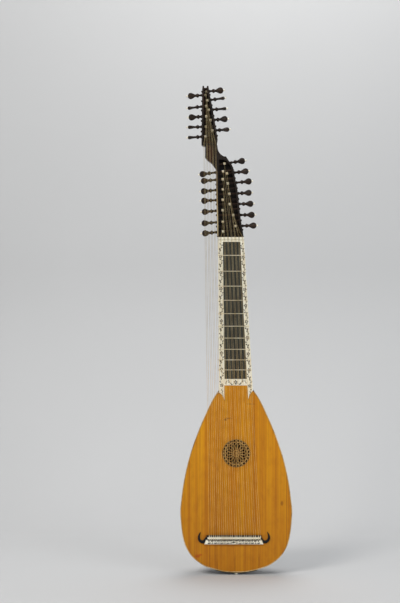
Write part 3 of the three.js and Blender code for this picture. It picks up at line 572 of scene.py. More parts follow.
def ribbon(points, widths, front_y, back_y, is_loop=False, lifts=None, crown=0.0):
    """A flat band in x and z, between a front and a back, with an optional crowned front."""
    count = len(points)
    rings = []
    for i, (x, z) in enumerate(points):
        x0, z0 = points[i - 1] if i or is_loop else points[0]
        x1, z1 = points[(i + 1) % count] if i + 1 < count or is_loop else points[-1]
        length = math.hypot(x1 - x0, z1 - z0) or 1
        nx, nz = (z1 - z0) / length, -(x1 - x0) / length
        half = (widths[i] if isinstance(widths, list) else widths) / 2
        lift = lifts[i] if lifts else 0
        front = [(-1, 0), (-0.6, 0.8), (0, 1), (0.6, 0.8), (1, 0)] if crown else [(-1, 0), (1, 0)]
        ring = [
            Vector((x + nx * half * across, front_y - lift - crown * rise, z + nz * half * across))
            for across, rise in front
        ]
        ring.append(Vector((x + nx * half, back_y - lift, z + nz * half)))
        ring.append(Vector((x - nx * half, back_y - lift, z - nz * half)))
        rings.append(ring)
    return rings


def plate(name, loops, front_y, back_y, finish, bevel, stands_for):
    """A flat plate with holes, its outline given as loops of x and z, with rounded edges."""
    curve = bpy.data.curves.new(name, "CURVE")
    curve.dimensions = "2D"
    curve.fill_mode = "BOTH"
    curve.extrude = (back_y - front_y) / 2 - bevel
    curve.bevel_depth = bevel
    curve.bevel_resolution = 2
    curve.offset = -bevel
    for loop in loops:
        spline = curve.splines.new("POLY")
        spline.points.add(len(loop) - 1)
        for point, (x, z) in zip(spline.points, loop):
            point.co = (x, z, 0, 1)
        spline.use_cyclic_u = True
    holder = new_object(name, curve)
    mesh = evaluated_mesh(holder)
    bpy.data.objects.remove(holder)
    bpy.data.curves.remove(curve)
    turn = Matrix.Rotation(math.radians(90), 4, "X")
    mesh.transform(Matrix.Translation(Vector((0, (front_y + back_y) / 2, 0)) + SHIFT) @ turn)
    return place_piece(name, mesh, finish, "root", stands_for, 38)


def catmull(points, steps):
    """A smooth line through points, with steps to each stretch."""
    line = []
    last = len(points) - 1
    for i in range(last):
        p0, p1 = points[max(i - 1, 0)], points[i]
        p2, p3 = points[i + 1], points[min(i + 2, last)]
        for step in range(steps):
            t = step / steps
            line.append(tuple(
                0.5 * (
                    2 * b + (c - a) * t + (2 * a - 5 * b + 4 * c - d) * t ** 2
                    + (3 * b - a - 3 * c + d) * t ** 3
                )
                for a, b, c, d in zip(p0, p1, p2, p3)
            ))
    line.append(tuple(points[last]))
    return line


def mix(low, high, share):
    return low + (high - low) * share


# Outline of the body, as shares of its half width and its length
OUTLINE_SHARES = [
    (0, 0.0055), (0.12, 0.0066), (0.259, 0.0118), (0.44, 0.0262), (0.609, 0.0465), (0.817, 0.0998),
    (0.946, 0.182), (1, 0.318), (0.984, 0.4), (0.933, 0.509), (0.853, 0.618), (0.739, 0.727),
    (0.596, 0.836), (0.427, 0.945), (0.307, 1),
]
OUTLINE_STEPS = 14
outline_line = catmull(
    [(width * BODY_WIDTH / 2, height * BODY_LENGTH) for width, height in OUTLINE_SHARES], OUTLINE_STEPS,
)


def offset_outline(offset):
    """The half outline moved out along its normals, from the foot up."""
    moved = []
    last = len(outline_line) - 1
    for i, (x, z) in enumerate(outline_line):
        x0, z0 = outline_line[max(i - 1, 0)]
        x1, z1 = outline_line[min(i + 1, last)]
        length = math.hypot(x1 - x0, z1 - z0)
        tx, tz = ((x1 - x0) / length, (z1 - z0) / length) if i else (1, 0)
        moved.append((x + tz * offset, z - tx * offset))
    return moved


def cut_line(line, top_z):
    """A rising line up to a height, where it gets a last point."""
    kept = []
    for (x0, z0), (x1, z1) in zip(line, line[1:]):
        kept.append((x0, z0))
        if z1 >= top_z:
            share = (top_z - z0) / (z1 - z0)
            kept.append((mix(x0, x1, share), top_z))
            return kept
    kept.append(line[-1])
    return kept


def mirrored(line):
    return [(-x, z) for x, z in line]


# Soundboard with its horns between the beards of the fingerboard border

neck_lean = (NECK_NUT_OFFSET - NECK_FOOT_OFFSET) / NECK_LENGTH


def neck_centre(z):
    return NECK_FOOT_OFFSET + (z - BODY_LENGTH) * neck_lean


def neck_half(z):
    return (NECK_FOOT_WIDTH + (z - BODY_LENGTH) * (NECK_NUT_WIDTH - NECK_FOOT_WIDTH) / NECK_LENGTH) / 2


def neck_edge(z, sign):
    return neck_centre(z) + sign * neck_half(z)


BEARD_LENGTH = 0.029
BEARD_INSET = 0.015
FOOT_STRIP_RISE = 0.013
FOOT_STRIP_WIDTH = 0.018
HEAD_STRIP_WIDTH = 0.005
SIDE_STRIP_FOOT = 0.016
SIDE_STRIP_HEAD = {-1: 0.0132, 1: 0.0108}
BEARD_CORNER_SHARES = {-1: 0.24, 1: 0.07}
HORN_DROP_SHARES = {-1: 0.28, 1: 0.17}
BEARD_BEND_SHARES = (0.82, 0.72)
BEARD_STEPS = 16
BINDING_DROP_SHARE = 0.4
BORDER_TOP_Z = NUT_Z - NUT_WIDTH / 2 - GLUE_GAP
BORDER_FOOT_Z = BODY_LENGTH + FOOT_STRIP_RISE
BEARD_TIP_Z = BODY_LENGTH - BEARD_LENGTH
PANEL_FOOT_Z = BORDER_FOOT_Z + FOOT_STRIP_WIDTH
PANEL_TOP_Z = BORDER_TOP_Z - HEAD_STRIP_WIDTH


def beard(sign, grow):
    """One beard, from its corner at the edge of the body down to its tip."""
    corner_z = BODY_LENGTH - BEARD_LENGTH * BEARD_CORNER_SHARES[sign]
    corner = (neck_edge(corner_z, sign) + sign * grow, corner_z - grow)
    tip = (neck_edge(BEARD_TIP_Z, sign) - sign * (BEARD_INSET - grow), BEARD_TIP_Z - grow)
    across, up = BEARD_BEND_SHARES
    bend = (mix(corner[0], tip[0], across), mix(tip[1], corner[1], up))
    line = []
    for step in range(BEARD_STEPS + 1):
        t = step / BEARD_STEPS
        line.append(tuple(
            (1 - t) ** 2 * a + 2 * t * (1 - t) * b + t ** 2 * c for a, b, c in zip(corner, bend, tip)
        ))
    return line


def beard_inner_x(sign, z, grow):
    return neck_edge(z, sign) - sign * (BEARD_INSET + grow)


ROSE_RADIUS = ROSE_DIAMETER / 2
ROSE_Z = BODY_LENGTH * 0.6544
ROSE_RIM_STEPS = 96
board_edge = offset_outline(-BINDING_WIDTH - GLUE_GAP)
board_loop = [
    *cut_line(board_edge, BODY_LENGTH - BEARD_LENGTH * HORN_DROP_SHARES[1]),
    *beard(1, GLUE_GAP),
    (beard_inner_x(1, BEARD_TIP_Z, GLUE_GAP), BEARD_TIP_Z - GLUE_GAP),
    (beard_inner_x(1, BORDER_FOOT_Z, GLUE_GAP), BORDER_FOOT_Z - GLUE_GAP),
    (beard_inner_x(-1, BORDER_FOOT_Z, GLUE_GAP), BORDER_FOOT_Z - GLUE_GAP),
    (beard_inner_x(-1, BEARD_TIP_Z, GLUE_GAP), BEARD_TIP_Z - GLUE_GAP),
    *beard(-1, GLUE_GAP)[::-1],
    *mirrored(cut_line(board_edge, BODY_LENGTH - BEARD_LENGTH * HORN_DROP_SHARES[-1]))[:0:-1],
]


def rose_point(share, turn):
    """A place on the rose, from a share of its radius and an angle from its top."""
    return (share * ROSE_RADIUS * math.sin(turn), ROSE_Z + share * ROSE_RADIUS * math.cos(turn))


def rose_circle(share):
    return [rose_point(share, turn) for turn in circle(ROSE_RIM_STEPS)]


board_loops = [board_loop, rose_circle(1)]
plate("soundboard_plate", board_loops, 0, BOARD_THICKNESS, "spruce", 0.25 * MM, ("soundboard",))

# Rose: knotwork of interlaced circles inside a ring, and a scalloped border at the rim

KNOT_RINGS = ((16, 0.5, 0.305), (6, 0.1, 0.125))
KNOT_STEPS = 72
KNOT_BAND = 1.35 * MM
KNOT_LIFT = 0.28 * MM
KNOT_CROWN = 0.2 * MM
RING_SHARES = (0.82, 0.215)
SCALLOP_COUNT = 24
SCALLOP_STEPS = 12
SCALLOP_TOP_SHARE = 0.985
SCALLOP_FULLNESS = 0.6
SCALLOP_CROWN = 0.15 * MM
SPOKE_SHARES = (0.9, 1.005)
BAND_FRONT_Y = 0.35 * MM
BAND_BACK_Y = 1.6 * MM


def rose():
    shape = Shape()
    for count, centre_share, radius_share in KNOT_RINGS:
        radius = radius_share * ROSE_RADIUS
        for turn in circle(count):
            x, z = rose_point(centre_share, turn)
            points = []
            lifts = []
            for step in range(KNOT_STEPS):
                around = 2 * math.pi * (step + 0.5) / KNOT_STEPS
                points.append((x + radius * math.sin(turn + around), z + radius * math.cos(turn + around)))
                side = 1 if around < math.pi else -1
                lifts.append(KNOT_LIFT * side * math.cos(count * around / 2))
            shape.rings(ribbon(points, KNOT_BAND, BAND_FRONT_Y, BAND_BACK_Y, True, lifts, KNOT_CROWN), True)
    for share in RING_SHARES:
        ring = rose_circle(share)
        front_y = BAND_FRONT_Y - KNOT_LIFT
        shape.rings(ribbon(ring, KNOT_BAND, front_y, BAND_BACK_Y, True, None, KNOT_CROWN), True)
    for scallop in range(SCALLOP_COUNT):
        arch = []
        for step in range(SCALLOP_STEPS + 1):
            share = step / SCALLOP_STEPS
            rise = mix(RING_SHARES[0], SCALLOP_TOP_SHARE, math.sin(math.pi * share) ** SCALLOP_FULLNESS)
            arch.append(rose_point(rise, 2 * math.pi * (scallop + share) / SCALLOP_COUNT))
        turn = 2 * math.pi * scallop / SCALLOP_COUNT
        spoke = [rose_point(share, turn) for share in (RING_SHARES[0], *SPOKE_SHARES)]
        for line, width in ((arch, KNOT_BAND * 0.8), (spoke, KNOT_BAND * 0.9)):
            shape.rings(ribbon(line, width, BAND_FRONT_Y, BAND_BACK_Y, False, None, SCALLOP_CROWN))
    return shape


make_piece("rose_knotwork", rose(), "rose", stands_for=("soundboard",))

# Edge binding

binding_top_z = BODY_LENGTH - FOOT_STRIP_RISE * BINDING_DROP_SHARE
binding_outer = cut_line(offset_outline(0), binding_top_z)
binding_inner = cut_line(offset_outline(-BINDING_WIDTH), binding_top_z)
binding_loop = [
    *mirrored(binding_outer)[::-1], *binding_outer[1:],
    *binding_inner[::-1], *mirrored(binding_inner)[1:],
]
plate("binding_strip", [binding_loop], 0, BOARD_THICKNESS, "binding", 0.3 * MM, ("edge_binding",))

# Bowl: nearly flat ribs with a pale fillet let in over each seam

RIB_FOOT_WIDTH = 0.014
RIB_CROWN_SHARE = 0.55
RIB_STEPS_ACROSS = 8
FILLET_WIDTH = 1.0 * MM
FILLET_PROUD = 0.12 * MM


def bowl_point(w, z, angle, shrink=1.0):
    return Vector((-w * math.cos(angle) * shrink, RIM_Y + w * BOWL_RATIO * math.sin(angle) * shrink, z))


def rib_point(w, z, angle, start, end):
    """A rib is bent flatter across than the bowl is round."""
    arc = bowl_point(w, z, angle)
    share = (angle - start) / (end - start)
    chord = bowl_point(w, z, start).lerp(bowl_point(w, z, end), share)
    return chord.lerp(arc, RIB_CROWN_SHARE)


outer_line = offset_outline(0)
inner_line = offset_outline(-RIB_THICKNESS)
rib_stations = [i for i, (x, _) in enumerate(outer_line) if x >= RIB_FOOT_WIDTH * 0.5]


def rib(index):
    start = math.pi * index / RIB_COUNT
    end = math.pi * (index + 1) / RIB_COUNT
    rings = []
    for station in rib_stations:
        w, z = outer_line[station]
        wi, zi = inner_line[station]
        seam = GLUE_GAP / 2 / w
        low = start + (seam if index else 0)
        high = end - (seam if index + 1 < RIB_COUNT else 0)
        angles = [mix(low, high, s / RIB_STEPS_ACROSS) for s in range(RIB_STEPS_ACROSS + 1)]
        outer = [rib_point(w, z, a, start, end) for a in angles]
        inner = [rib_point(wi, zi, a, start, end) for a in angles[::-1]]
        rings.append(outer + inner)
    return Shape().rings(rings)


def fillet(index):
    angle = math.pi * index / RIB_COUNT
    rings = []
    for station in rib_stations:
        w, z = outer_line[station]
        spread = FILLET_WIDTH / 2 / w
        proud = 1 + FILLET_PROUD / w
        sunk = 1 - FILLET_PROUD * 4 / w
        rings.append([
            bowl_point(w, z, angle - spread, sunk), bowl_point(w, z, angle - spread, proud),
            bowl_point(w, z, angle, proud + FILLET_PROUD / w),
            bowl_point(w, z, angle + spread, proud), bowl_point(w, z, angle + spread, sunk),
        ])
    return Shape().rings(rings)


for index in range(RIB_COUNT):
    make_piece(f"rib_{index + 1}", rib(index), "rib", stands_for=(f"bowl_rib_{index + 1}",))
for index in range(1, RIB_COUNT):
    make_piece(f"rib_fillet_{index}", fillet(index), "boxwood", sharp_angle=60)

# End clasp, with a rounded lip and a scalloped upper edge, and the end button

CLASP_GAP = 0.6 * MM
CLASP_THICKNESS = 1.6 * MM
CLASP_REACH = 0.060
CLASP_STEPS = 72
CLASP_STATIONS = 12
CLASP_SCALLOP = 2.2 * MM
CLASP_SCALLOPS = 9


def clasp():
    """A cap round the foot: rows run from the foot out to a scalloped edge."""
    lines = {
        depth: offset_outline(depth)
        for depth in (CLASP_GAP, CLASP_GAP + CLASP_THICKNESS * 0.75, CLASP_GAP + CLASP_THICKNESS)
    }

    def at(depth, width, angle):
        for (x0, z0), (x1, z1) in zip(lines[depth], lines[depth][1:]):
            if x0 <= width <= x1:
                return bowl_point(width, mix(z0, z1, (width - x0) / (x1 - x0)), angle)
        raise ValueError("the clasp reaches past the foot of the bowl")

    inner, edge, outer = lines
    rings = []
    for step in range(CLASP_STEPS + 1):
        angle = math.pi * step / CLASP_STEPS
        wave = abs(math.sin(CLASP_SCALLOPS * angle))
        reach = CLASP_REACH - CLASP_SCALLOP * wave
        front = [at(outer, reach * s / CLASP_STATIONS, angle) for s in range(CLASP_STATIONS)]
        rim = [at(edge, reach, angle)]
        back = [at(inner, reach * s / CLASP_STATIONS, angle) for s in range(CLASP_STATIONS, -1, -1)]
        rings.append(front + rim + back)
    return Shape().rings(rings)


make_piece("clasp", clasp(), "ebony", stands_for=("end_clasp",))


def lathe(profile, centre, axis, sides=32):
    """Rings of a turned shape: profile gives distance along the axis and radius."""
    axis = Vector(axis).normalized()
    side = axis.orthogonal().normalized()
    other = axis.cross(side)
    return [
        [
            Vector(centre) + axis * along + (side * math.cos(a) + other * math.sin(a)) * radius
            for a in circle(sides)
        ]
        for along, radius in profile
    ]


button_radius = (button_high.x - button_low.x) / 2
button_length = button_high.z - button_low.z
BUTTON_PROFILE_SHARES = [
    (0, 0.8), (0.03, 0.9), (0.1, 0.97), (0.22, 1), (0.42, 0.97), (0.52, 0.84), (0.6, 0.7), (0.72, 0.66),
    (0.86, 0.72), (1, 0.82),
]
button_foot = Vector((0, 0, 0)) - SHIFT
button_profile = [(along * button_length, share * button_radius) for along, share in BUTTON_PROFILE_SHARES]
button_rings = lathe(button_profile, button_foot, (0, 0, 1))
make_piece("button", Shape().rings(button_rings), "ivory", stands_for=("end_button",))
for name in ("bar_below_rose", "bar_above_rose", "neck_block"):
    keep_node(name, "softwood")


# Neck: a smooth rounded back that swells into the heel

NECK_FOOT_Z = BODY_LENGTH + 0.0003
NECK_TOP_Z = NUT_Z + NUT_WIDTH / 2 + 0.0012
HEEL_DEPTH = 0.0445
HEEL_SHARE = 0.11
HEEL_CURVE = 2.2
NECK_RINGS = 96
NECK_SECTION_STEPS = 28


def neck():
    rings = []
    for step in range(NECK_RINGS + 1):
        z = mix(NECK_FOOT_Z, NECK_TOP_Z, (step / NECK_RINGS) ** 1.6)
        share = (z - BODY_LENGTH) / NECK_LENGTH
        swell = max(0, 1 - share / HEEL_SHARE) ** HEEL_CURVE
        depth = mix(NECK_DEPTH, HEEL_DEPTH, swell)
        half = neck_half(z)
        centre = neck_centre(z)
        rings.append([
            Vector((centre - half * math.cos(a), RIM_Y + depth * math.sin(a), z))
            for a in (math.pi * s / NECK_SECTION_STEPS for s in range(NECK_SECTION_STEPS + 1))
        ])
    return Shape().rings(rings)


make_piece("neck_back", neck(), "head", stands_for=("neck",), bevel=0.3 * MM)

# Fingerboard: engraved ivory border round a dark panel


def border_inner_x(sign, z):
    width = mix(SIDE_STRIP_FOOT, SIDE_STRIP_HEAD[sign], (z - BODY_LENGTH) / (BORDER_TOP_Z - BODY_LENGTH))
    return neck_edge(z, sign) - sign * width


def panel_corners(gap):
    """The corners of the window in the border, or of the panel in it when it is smaller by a gap."""
    low_z = PANEL_FOOT_Z + gap
    high_z = PANEL_TOP_Z - gap
    corners = ((-1, low_z), (1, low_z), (1, high_z), (-1, high_z))
    return [(border_inner_x(sign, z) - sign * gap, z) for sign, z in corners]


border_loop = [
    *beard(1, 0),
    (beard_inner_x(1, BEARD_TIP_Z, 0), BEARD_TIP_Z),
    (beard_inner_x(1, BORDER_FOOT_Z, 0), BORDER_FOOT_Z),
    (beard_inner_x(-1, BORDER_FOOT_Z, 0), BORDER_FOOT_Z),
    (beard_inner_x(-1, BEARD_TIP_Z, 0), BEARD_TIP_Z),
    *beard(-1, 0)[::-1],
    (neck_edge(BORDER_TOP_Z, -1), BORDER_TOP_Z),
    (neck_edge(BORDER_TOP_Z, 1), BORDER_TOP_Z),
]
border_loops = [border_loop, panel_corners(0)]
plate("border", border_loops, 0, BOARD_THICKNESS, "ivory", 0.12 * MM, ("fingerboard_border",))
plate("panel", [panel_corners(GLUE_GAP)], 0, BOARD_THICKNESS, "worn_ebony", 0.1 * MM, ("fingerboard",))

# Engraving: a winding vine with leaves and flowers, filled with dark mastic, a hair above the ivory

INK_FRONT_Y = -0.05 * MM
INK_BACK_Y = 0.4 * MM
VINE_PERIOD = 0.045
VINE_SHARE = 0.2
VINE_STROKE = 0.9 * MM
ENGRAVING_MARGIN = 1.0 * MM
LEAF_LENGTH = 0.0085
LEAF_WIDTH = 0.0032
PETAL_COUNT = 5
PETAL_LENGTH = 0.0036
PETAL_WIDTH = 0.0026
LEAF_STEPS = 8
LEAF_BEND = 0.35
VINE_STEPS = 16
VINE_GAP = 0.004
# Share of the stem where a leaf starts, and its side
VINE_LEAVES = ((0.14, -1), (0.3, 1), (0.48, -1), (0.56, 1), (0.72, 1), (0.88, -1))


def stroke(shape, points, width):
    """A line of engraving that swells in the middle and thins to its ends."""
    last = len(points) - 1
    widths = [width * (0.3 + 0.7 * math.sin(math.pi * i / last)) for i in range(last + 1)]
    shape.rings(ribbon(points, widths, INK_FRONT_Y, INK_BACK_Y))


def leaf(shape, x, z, heading, length, width):
    """A pointed leaf that starts at x and z."""
    points = []
    widths = []
    for step in range(LEAF_STEPS + 1):
        share = step / LEAF_STEPS
        bend = LEAF_BEND * math.sin(math.pi * share)
        points.append((
            x + length * (share * math.cos(heading) - bend * 0.3 * math.sin(heading)),
            z + length * (share * math.sin(heading) + bend * 0.3 * math.cos(heading)),
        ))
        widths.append(max(0.02, math.sin(math.pi * share ** 0.8)) * width)
    shape.rings(ribbon(points, widths, INK_FRONT_Y, INK_BACK_Y))


def flower(shape, x, z, size, turn=0.0):
    for petal in range(PETAL_COUNT):
        heading = turn + 2 * math.pi * petal / PETAL_COUNT
        start_x = x + size * 0.25 * PETAL_LENGTH * math.cos(heading)
        start_z = z + size * 0.25 * PETAL_LENGTH * math.sin(heading)
        leaf(shape, start_x, start_z, heading, PETAL_LENGTH * size, PETAL_WIDTH * size)


def side_vine(sign, first_flower_z, count):
    """A vine up one side strip: it swings from edge to edge, with a flower in every other swing."""
    shape = Shape()

    def middle(z):
        return (neck_edge(z, sign) + border_inner_x(sign, z)) / 2

    def swing(z):
        return abs(neck_edge(z, sign) - border_inner_x(sign, z)) * VINE_SHARE

    for flower_index in range(count):
        z = first_flower_z + flower_index * VINE_PERIOD
        flower(shape, middle(z), z, 1.25, 0.6 * flower_index)
        end = min(z + VINE_PERIOD, BORDER_TOP_Z - VINE_GAP)
        points = []
        for step in range(VINE_STEPS + 1):
            share = step / VINE_STEPS
            along = mix(z + VINE_GAP, end - VINE_GAP, share)
            points.append((middle(along) + sign * swing(along) * math.sin(2 * math.pi * share), along))
        if end - z > VINE_PERIOD * 0.6:
            stroke(shape, points, VINE_STROKE)
            for share, side in VINE_LEAVES:
                px, pz = points[round(share * VINE_STEPS)]
                heading = math.pi / 2 + side * sign * 0.95
                leaf(shape, px, pz, heading, LEAF_LENGTH * 0.7, LEAF_WIDTH * 0.8)
            px, pz = points[VINE_STEPS // 2]
            leaf(shape, px, pz - VINE_GAP, math.pi / 2 - sign * 0.5, LEAF_LENGTH, LEAF_WIDTH)
    return shape


def kept_on_strip(shape, sign):
    """The shape with the points that pass the edge of the neck moved back onto the ivory."""
    for point in shape.points:
        edge = neck_edge(point.z, sign) - sign * ENGRAVING_MARGIN
        if sign * (point.x - edge) > 0:
            point.x = edge
    return shape


FIRST_FLOWER_Z = {-1: 0.5265, 1: 0.5245}
FLOWER_COUNT = 9
for sign, side in ((-1, "bass"), (1, "treble")):
    vine = side_vine(sign, FIRST_FLOWER_Z[sign], FLOWER_COUNT)
    make_piece(f"vine_{side}", kept_on_strip(vine, sign), "ink")


# Share of the stem where a leaf starts, its heading and its size
FOOT_LEAVES = (
    (0.2, -0.3, 0.9), (0.35, 1.3, 0.8), (0.52, 0.35, 1.0), (0.7, 1.9, 0.7), (0.85, -0.4, 0.8),
    (1.0, -1.2, 0.9),
)


def foot_ornament():
    """A flower in the middle of the foot strip with curling stems and leaves to both sides."""
    shape = Shape()
    x0 = neck_centre(BORDER_FOOT_Z)
    z0 = (BORDER_FOOT_Z + PANEL_FOOT_Z) / 2 - 0.0005
    flower(shape, x0, z0 + 0.001, 1.3, math.pi / 2)
    leaf(shape, x0, z0 - 0.0025, -math.pi / 2, 0.0055, 0.0028)
    for sign in (-1, 1):
        stem = catmull([
            (x0 + sign * 0.0040, z0 + 0.000), (x0 + sign * 0.0075, z0 - 0.0045),
            (x0 + sign * 0.0125, z0 - 0.0048), (x0 + sign * 0.0165, z0 - 0.0005),
            (x0 + sign * 0.0190, z0 + 0.0045), (x0 + sign * 0.0235, z0 + 0.0048),
            (x0 + sign * 0.0270, z0 + 0.001),
        ], 5)
        stroke(shape, stem, VINE_STROKE * 1.2)
        for share, heading, size in FOOT_LEAVES:
            px, pz = stem[round(share * (len(stem) - 1))]
            heading = heading if sign > 0 else math.pi - heading
            leaf(shape, px, pz, heading, LEAF_LENGTH * size * 0.7, LEAF_WIDTH * size * 0.8)
    return shape


make_piece("foot_ornament", foot_ornament(), "ink")


def beard_ornament(sign):
    """A stem that runs down a beard, with leaves on its outer side."""
    shape = Shape()
    tip_x = neck_edge(BEARD_TIP_Z, sign) - sign * BEARD_INSET
    stem = catmull([
        (tip_x + sign * 0.0060, BODY_LENGTH + 0.006), (tip_x + sign * 0.0062, BODY_LENGTH - 0.002),
        (tip_x + sign * 0.0048, BODY_LENGTH - 0.010), (tip_x + sign * 0.0022, BODY_LENGTH - 0.019),
    ], 6)
    stroke(shape, stem, VINE_STROKE)
    for share, side, size in ((0.15, 1, 0.9), (0.35, -1, 0.7), (0.5, 1, 0.7), (0.75, 1, 0.45)):
        px, pz = stem[round(share * (len(stem) - 1))]
        leaf(shape, px, pz, -math.pi / 2 + side * sign * 0.8, LEAF_LENGTH * size * 0.6, LEAF_WIDTH * size)
    return shape


for sign, side in ((-1, "bass"), (1, "treble")):
    make_piece(f"beard_ornament_{side}", beard_ornament(sign), "ink")

# Frets: a doubled gut loop round the neck, knotted at the bass edge

FRET_RADIUS = 0.42 * MM
FRET_STEPS = 56
FRET_SIDES = 8
KNOT_SIDES = 6
FRET_CLEARANCE = 0.45 * MM
FRET_FRONT_GAP = 0.42 * MM
FRET_CORNER = 1.2 * MM
FRET_CORNER_STEPS = 5
FRET_FRONT_STEPS = 8
FRET_KNOT_TURNS = 2.5
FRET_KNOT_STEPS = 40
TIE_Z = 0.09932
STRING_LENGTH = NUT_Z - TIE_Z


def fret_loop(z):
    """A closed loop that lies flat on the fingerboard and follows the round back of the neck."""
    half = neck_half(z) + FRET_CLEARANCE + FRET_RADIUS
    centre = neck_centre(z)
    front_y = -FRET_FRONT_GAP - FRET_RADIUS
    corner = FRET_CORNER

    def edge(sign):
        line = []
        for step in range(1, FRET_CORNER_STEPS):
            a = math.pi / 2 * step / FRET_CORNER_STEPS
            x = centre + sign * (half - corner + corner * math.sin(a))
            line.append((x, front_y + corner * (1 - math.cos(a)), z))
        return [*line, (centre + sign * half, RIM_Y, z)]

    front = [
        (mix(centre - half + corner, centre + half - corner, step / FRET_FRONT_STEPS), front_y, z)
        for step in range(FRET_FRONT_STEPS + 1)
    ]
    share = (z - BODY_LENGTH) / NECK_LENGTH
    depth = NECK_DEPTH + FRET_CLEARANCE + FRET_RADIUS
    depth += (HEEL_DEPTH - NECK_DEPTH) * max(0, 1 - share / HEEL_SHARE) ** HEEL_CURVE
    back = [
        (centre + half * math.cos(a), RIM_Y + depth * math.sin(a), z)
        for a in (math.pi * step / FRET_STEPS for step in range(1, FRET_STEPS))
    ]
    return [*front, *edge(1), *back, *edge(-1)[::-1]]


def fret_knot(z):
    x = neck_edge(z, -1) - 0.6 * MM
    shape = Shape()
    turns = []
    for step in range(FRET_KNOT_STEPS + 1):
        share = step / FRET_KNOT_STEPS
        a = 2 * math.pi * FRET_KNOT_TURNS * step / FRET_KNOT_STEPS
        turns.append((
            x + 1.1 * MM * math.cos(a) * 0.6 + 0.2 * MM, 1.2 * MM + 1.3 * MM * math.sin(a),
            z + mix(-1.6, 1.6, share) * MM,
        ))
    shape.rings(tube(turns, FRET_RADIUS, KNOT_SIDES))
    for sign in (-1, 1):
        end = [
            (x - 0.2 * MM, 1.2 * MM, z + sign * 1.2 * MM), (x - 0.9 * MM, 2.6 * MM, z + sign * 2.4 * MM),
            (x - 0.8 * MM, 4.2 * MM, z + sign * 3.0 * MM),
        ]
        shape.rings(tube(end, FRET_RADIUS * 0.9, KNOT_SIDES))
    return shape


for number in range(1, FRET_COUNT + 1):
    fret_z = NUT_Z - STRING_LENGTH * (1 - 2 ** (-number / 12))
    fret = f"fret_{number}"
    loops = Shape()
    for offset_z in (-FRET_RADIUS * 1.05, FRET_RADIUS * 1.05):
        loops.rings(tube(fret_loop(fret_z + offset_z), FRET_RADIUS, FRET_SIDES, True), True)
    make_piece(f"fret_loop_{number}", loops, "gut", fret, (fret,), sharp_angle=60)
    make_piece(f"fret_knot_{number}", fret_knot(fret_z), "gut", fret, sharp_angle=60)


# Nuts, with a groove under each string

GROOVE_WIDTH = 1.5 * MM
GROOVE_DEPTH = 0.5 * MM
# Share of the width and of the depth
GROOVE_PROFILE = ((-0.5, 0), (-0.25, 0.8), (0, 1), (0.25, 0.8), (0.5, 0))


def nut(low, high, grooves):
    """A bar with a rounded front edge, notched where strings cross it."""
    left, right, front_y, back_y = low.x, high.x, low.y, high.y
    centre_z = (low.z + high.z) / 2
    stations = [(left, 0), (right, 0)]
    for x in grooves:
        for share, sink in GROOVE_PROFILE:
            stations.append((x + share * GROOVE_WIDTH, sink * GROOVE_DEPTH))
    half = (high.z - low.z) / 2
    rings = []
    for x, sink in sorted(stations):
        section = [
            (back_y, -half), (front_y + 1.6 * MM, -half), (front_y + 0.7 * MM, -half * 0.86),
            (front_y + 0.15 * MM, -half * 0.5), (front_y, 0), (front_y + 0.1 * MM, half * 0.5),
            (front_y + 0.6 * MM, half * 0.88), (front_y + 1.4 * MM, half), (back_y, half),
        ]
        rings.append([
            Vector((x, y + (sink if y < back_y - MM else 0), centre_z + z)) for y, z in section
        ])
    return Shape().rings(rings)


# Strings: where each leaves the bridge, crosses its nut and reaches its peg

STRING_RADIUS = 0.32 * MM
STRING_SIDES = 8
BRIDGE_LENGTH = 0.1652
BRIDGE_OFFSET = -0.0067
BRIDGE_LEFT = BRIDGE_OFFSET - BRIDGE_LENGTH / 2
BRIDGE_RIGHT = BRIDGE_OFFSET + BRIDGE_LENGTH / 2
CAP_LEFT = BRIDGE_LEFT + 0.009
CAP_RIGHT = BRIDGE_RIGHT - 0.0072
CAP_FRONT_Y = -0.0083
FRETTED_COUNT = 14
BASS_COUNT = 10
FRETTED_BRIDGE_SHARES = (0.447, 0.972)
BASS_BRIDGE_SHARES = (0.051, 0.366)
FRETTED_NUT_SHARES = (0.099, 0.945)
BASS_NUT_SHARES = (0.033, 0.979)
PAIR_STEP_AT_BRIDGE = 0.0054
PAIR_STEP_AT_NUT = 0.0026
UPPER_NUT_SPAN = (-0.0909, -0.0577)


def paired(count, span, shares, step):
    """Places of strings that stand in pairs across a span."""
    places = []
    for i in range(count):
        course = (i // 2) / (count / 2 - 1)
        places.append(mix(*span, mix(*shares, course)) + ((i % 2) - 0.5) * step)
    return places


CAP_SPAN = (CAP_LEFT, CAP_RIGHT)
FRETTED_BRIDGE_X = paired(FRETTED_COUNT, CAP_SPAN, FRETTED_BRIDGE_SHARES, PAIR_STEP_AT_BRIDGE)
BASS_BRIDGE_X = paired(BASS_COUNT, CAP_SPAN, BASS_BRIDGE_SHARES, PAIR_STEP_AT_BRIDGE)
NUT_SPAN = (neck_edge(NUT_Z, -1), neck_edge(NUT_Z, 1))
FRETTED_NUT_X = paired(FRETTED_COUNT, NUT_SPAN, FRETTED_NUT_SHARES, PAIR_STEP_AT_NUT)
BASS_NUT_X = paired(BASS_COUNT, UPPER_NUT_SPAN, BASS_NUT_SHARES, PAIR_STEP_AT_NUT)


def node_span(name):
    low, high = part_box(name)
    return low - SHIFT, high - SHIFT


for name, grooves, finish in (("nut", FRETTED_NUT_X, "ivory"), ("upper_nut", BASS_NUT_X, "ebony")):
    make_piece(f"{name}_bar", nut(*node_span(name), grooves), finish, stands_for=(name,), sharp_angle=50)

# Pegs, from the joints of the frame: the seat, the way out, and the length inside the box

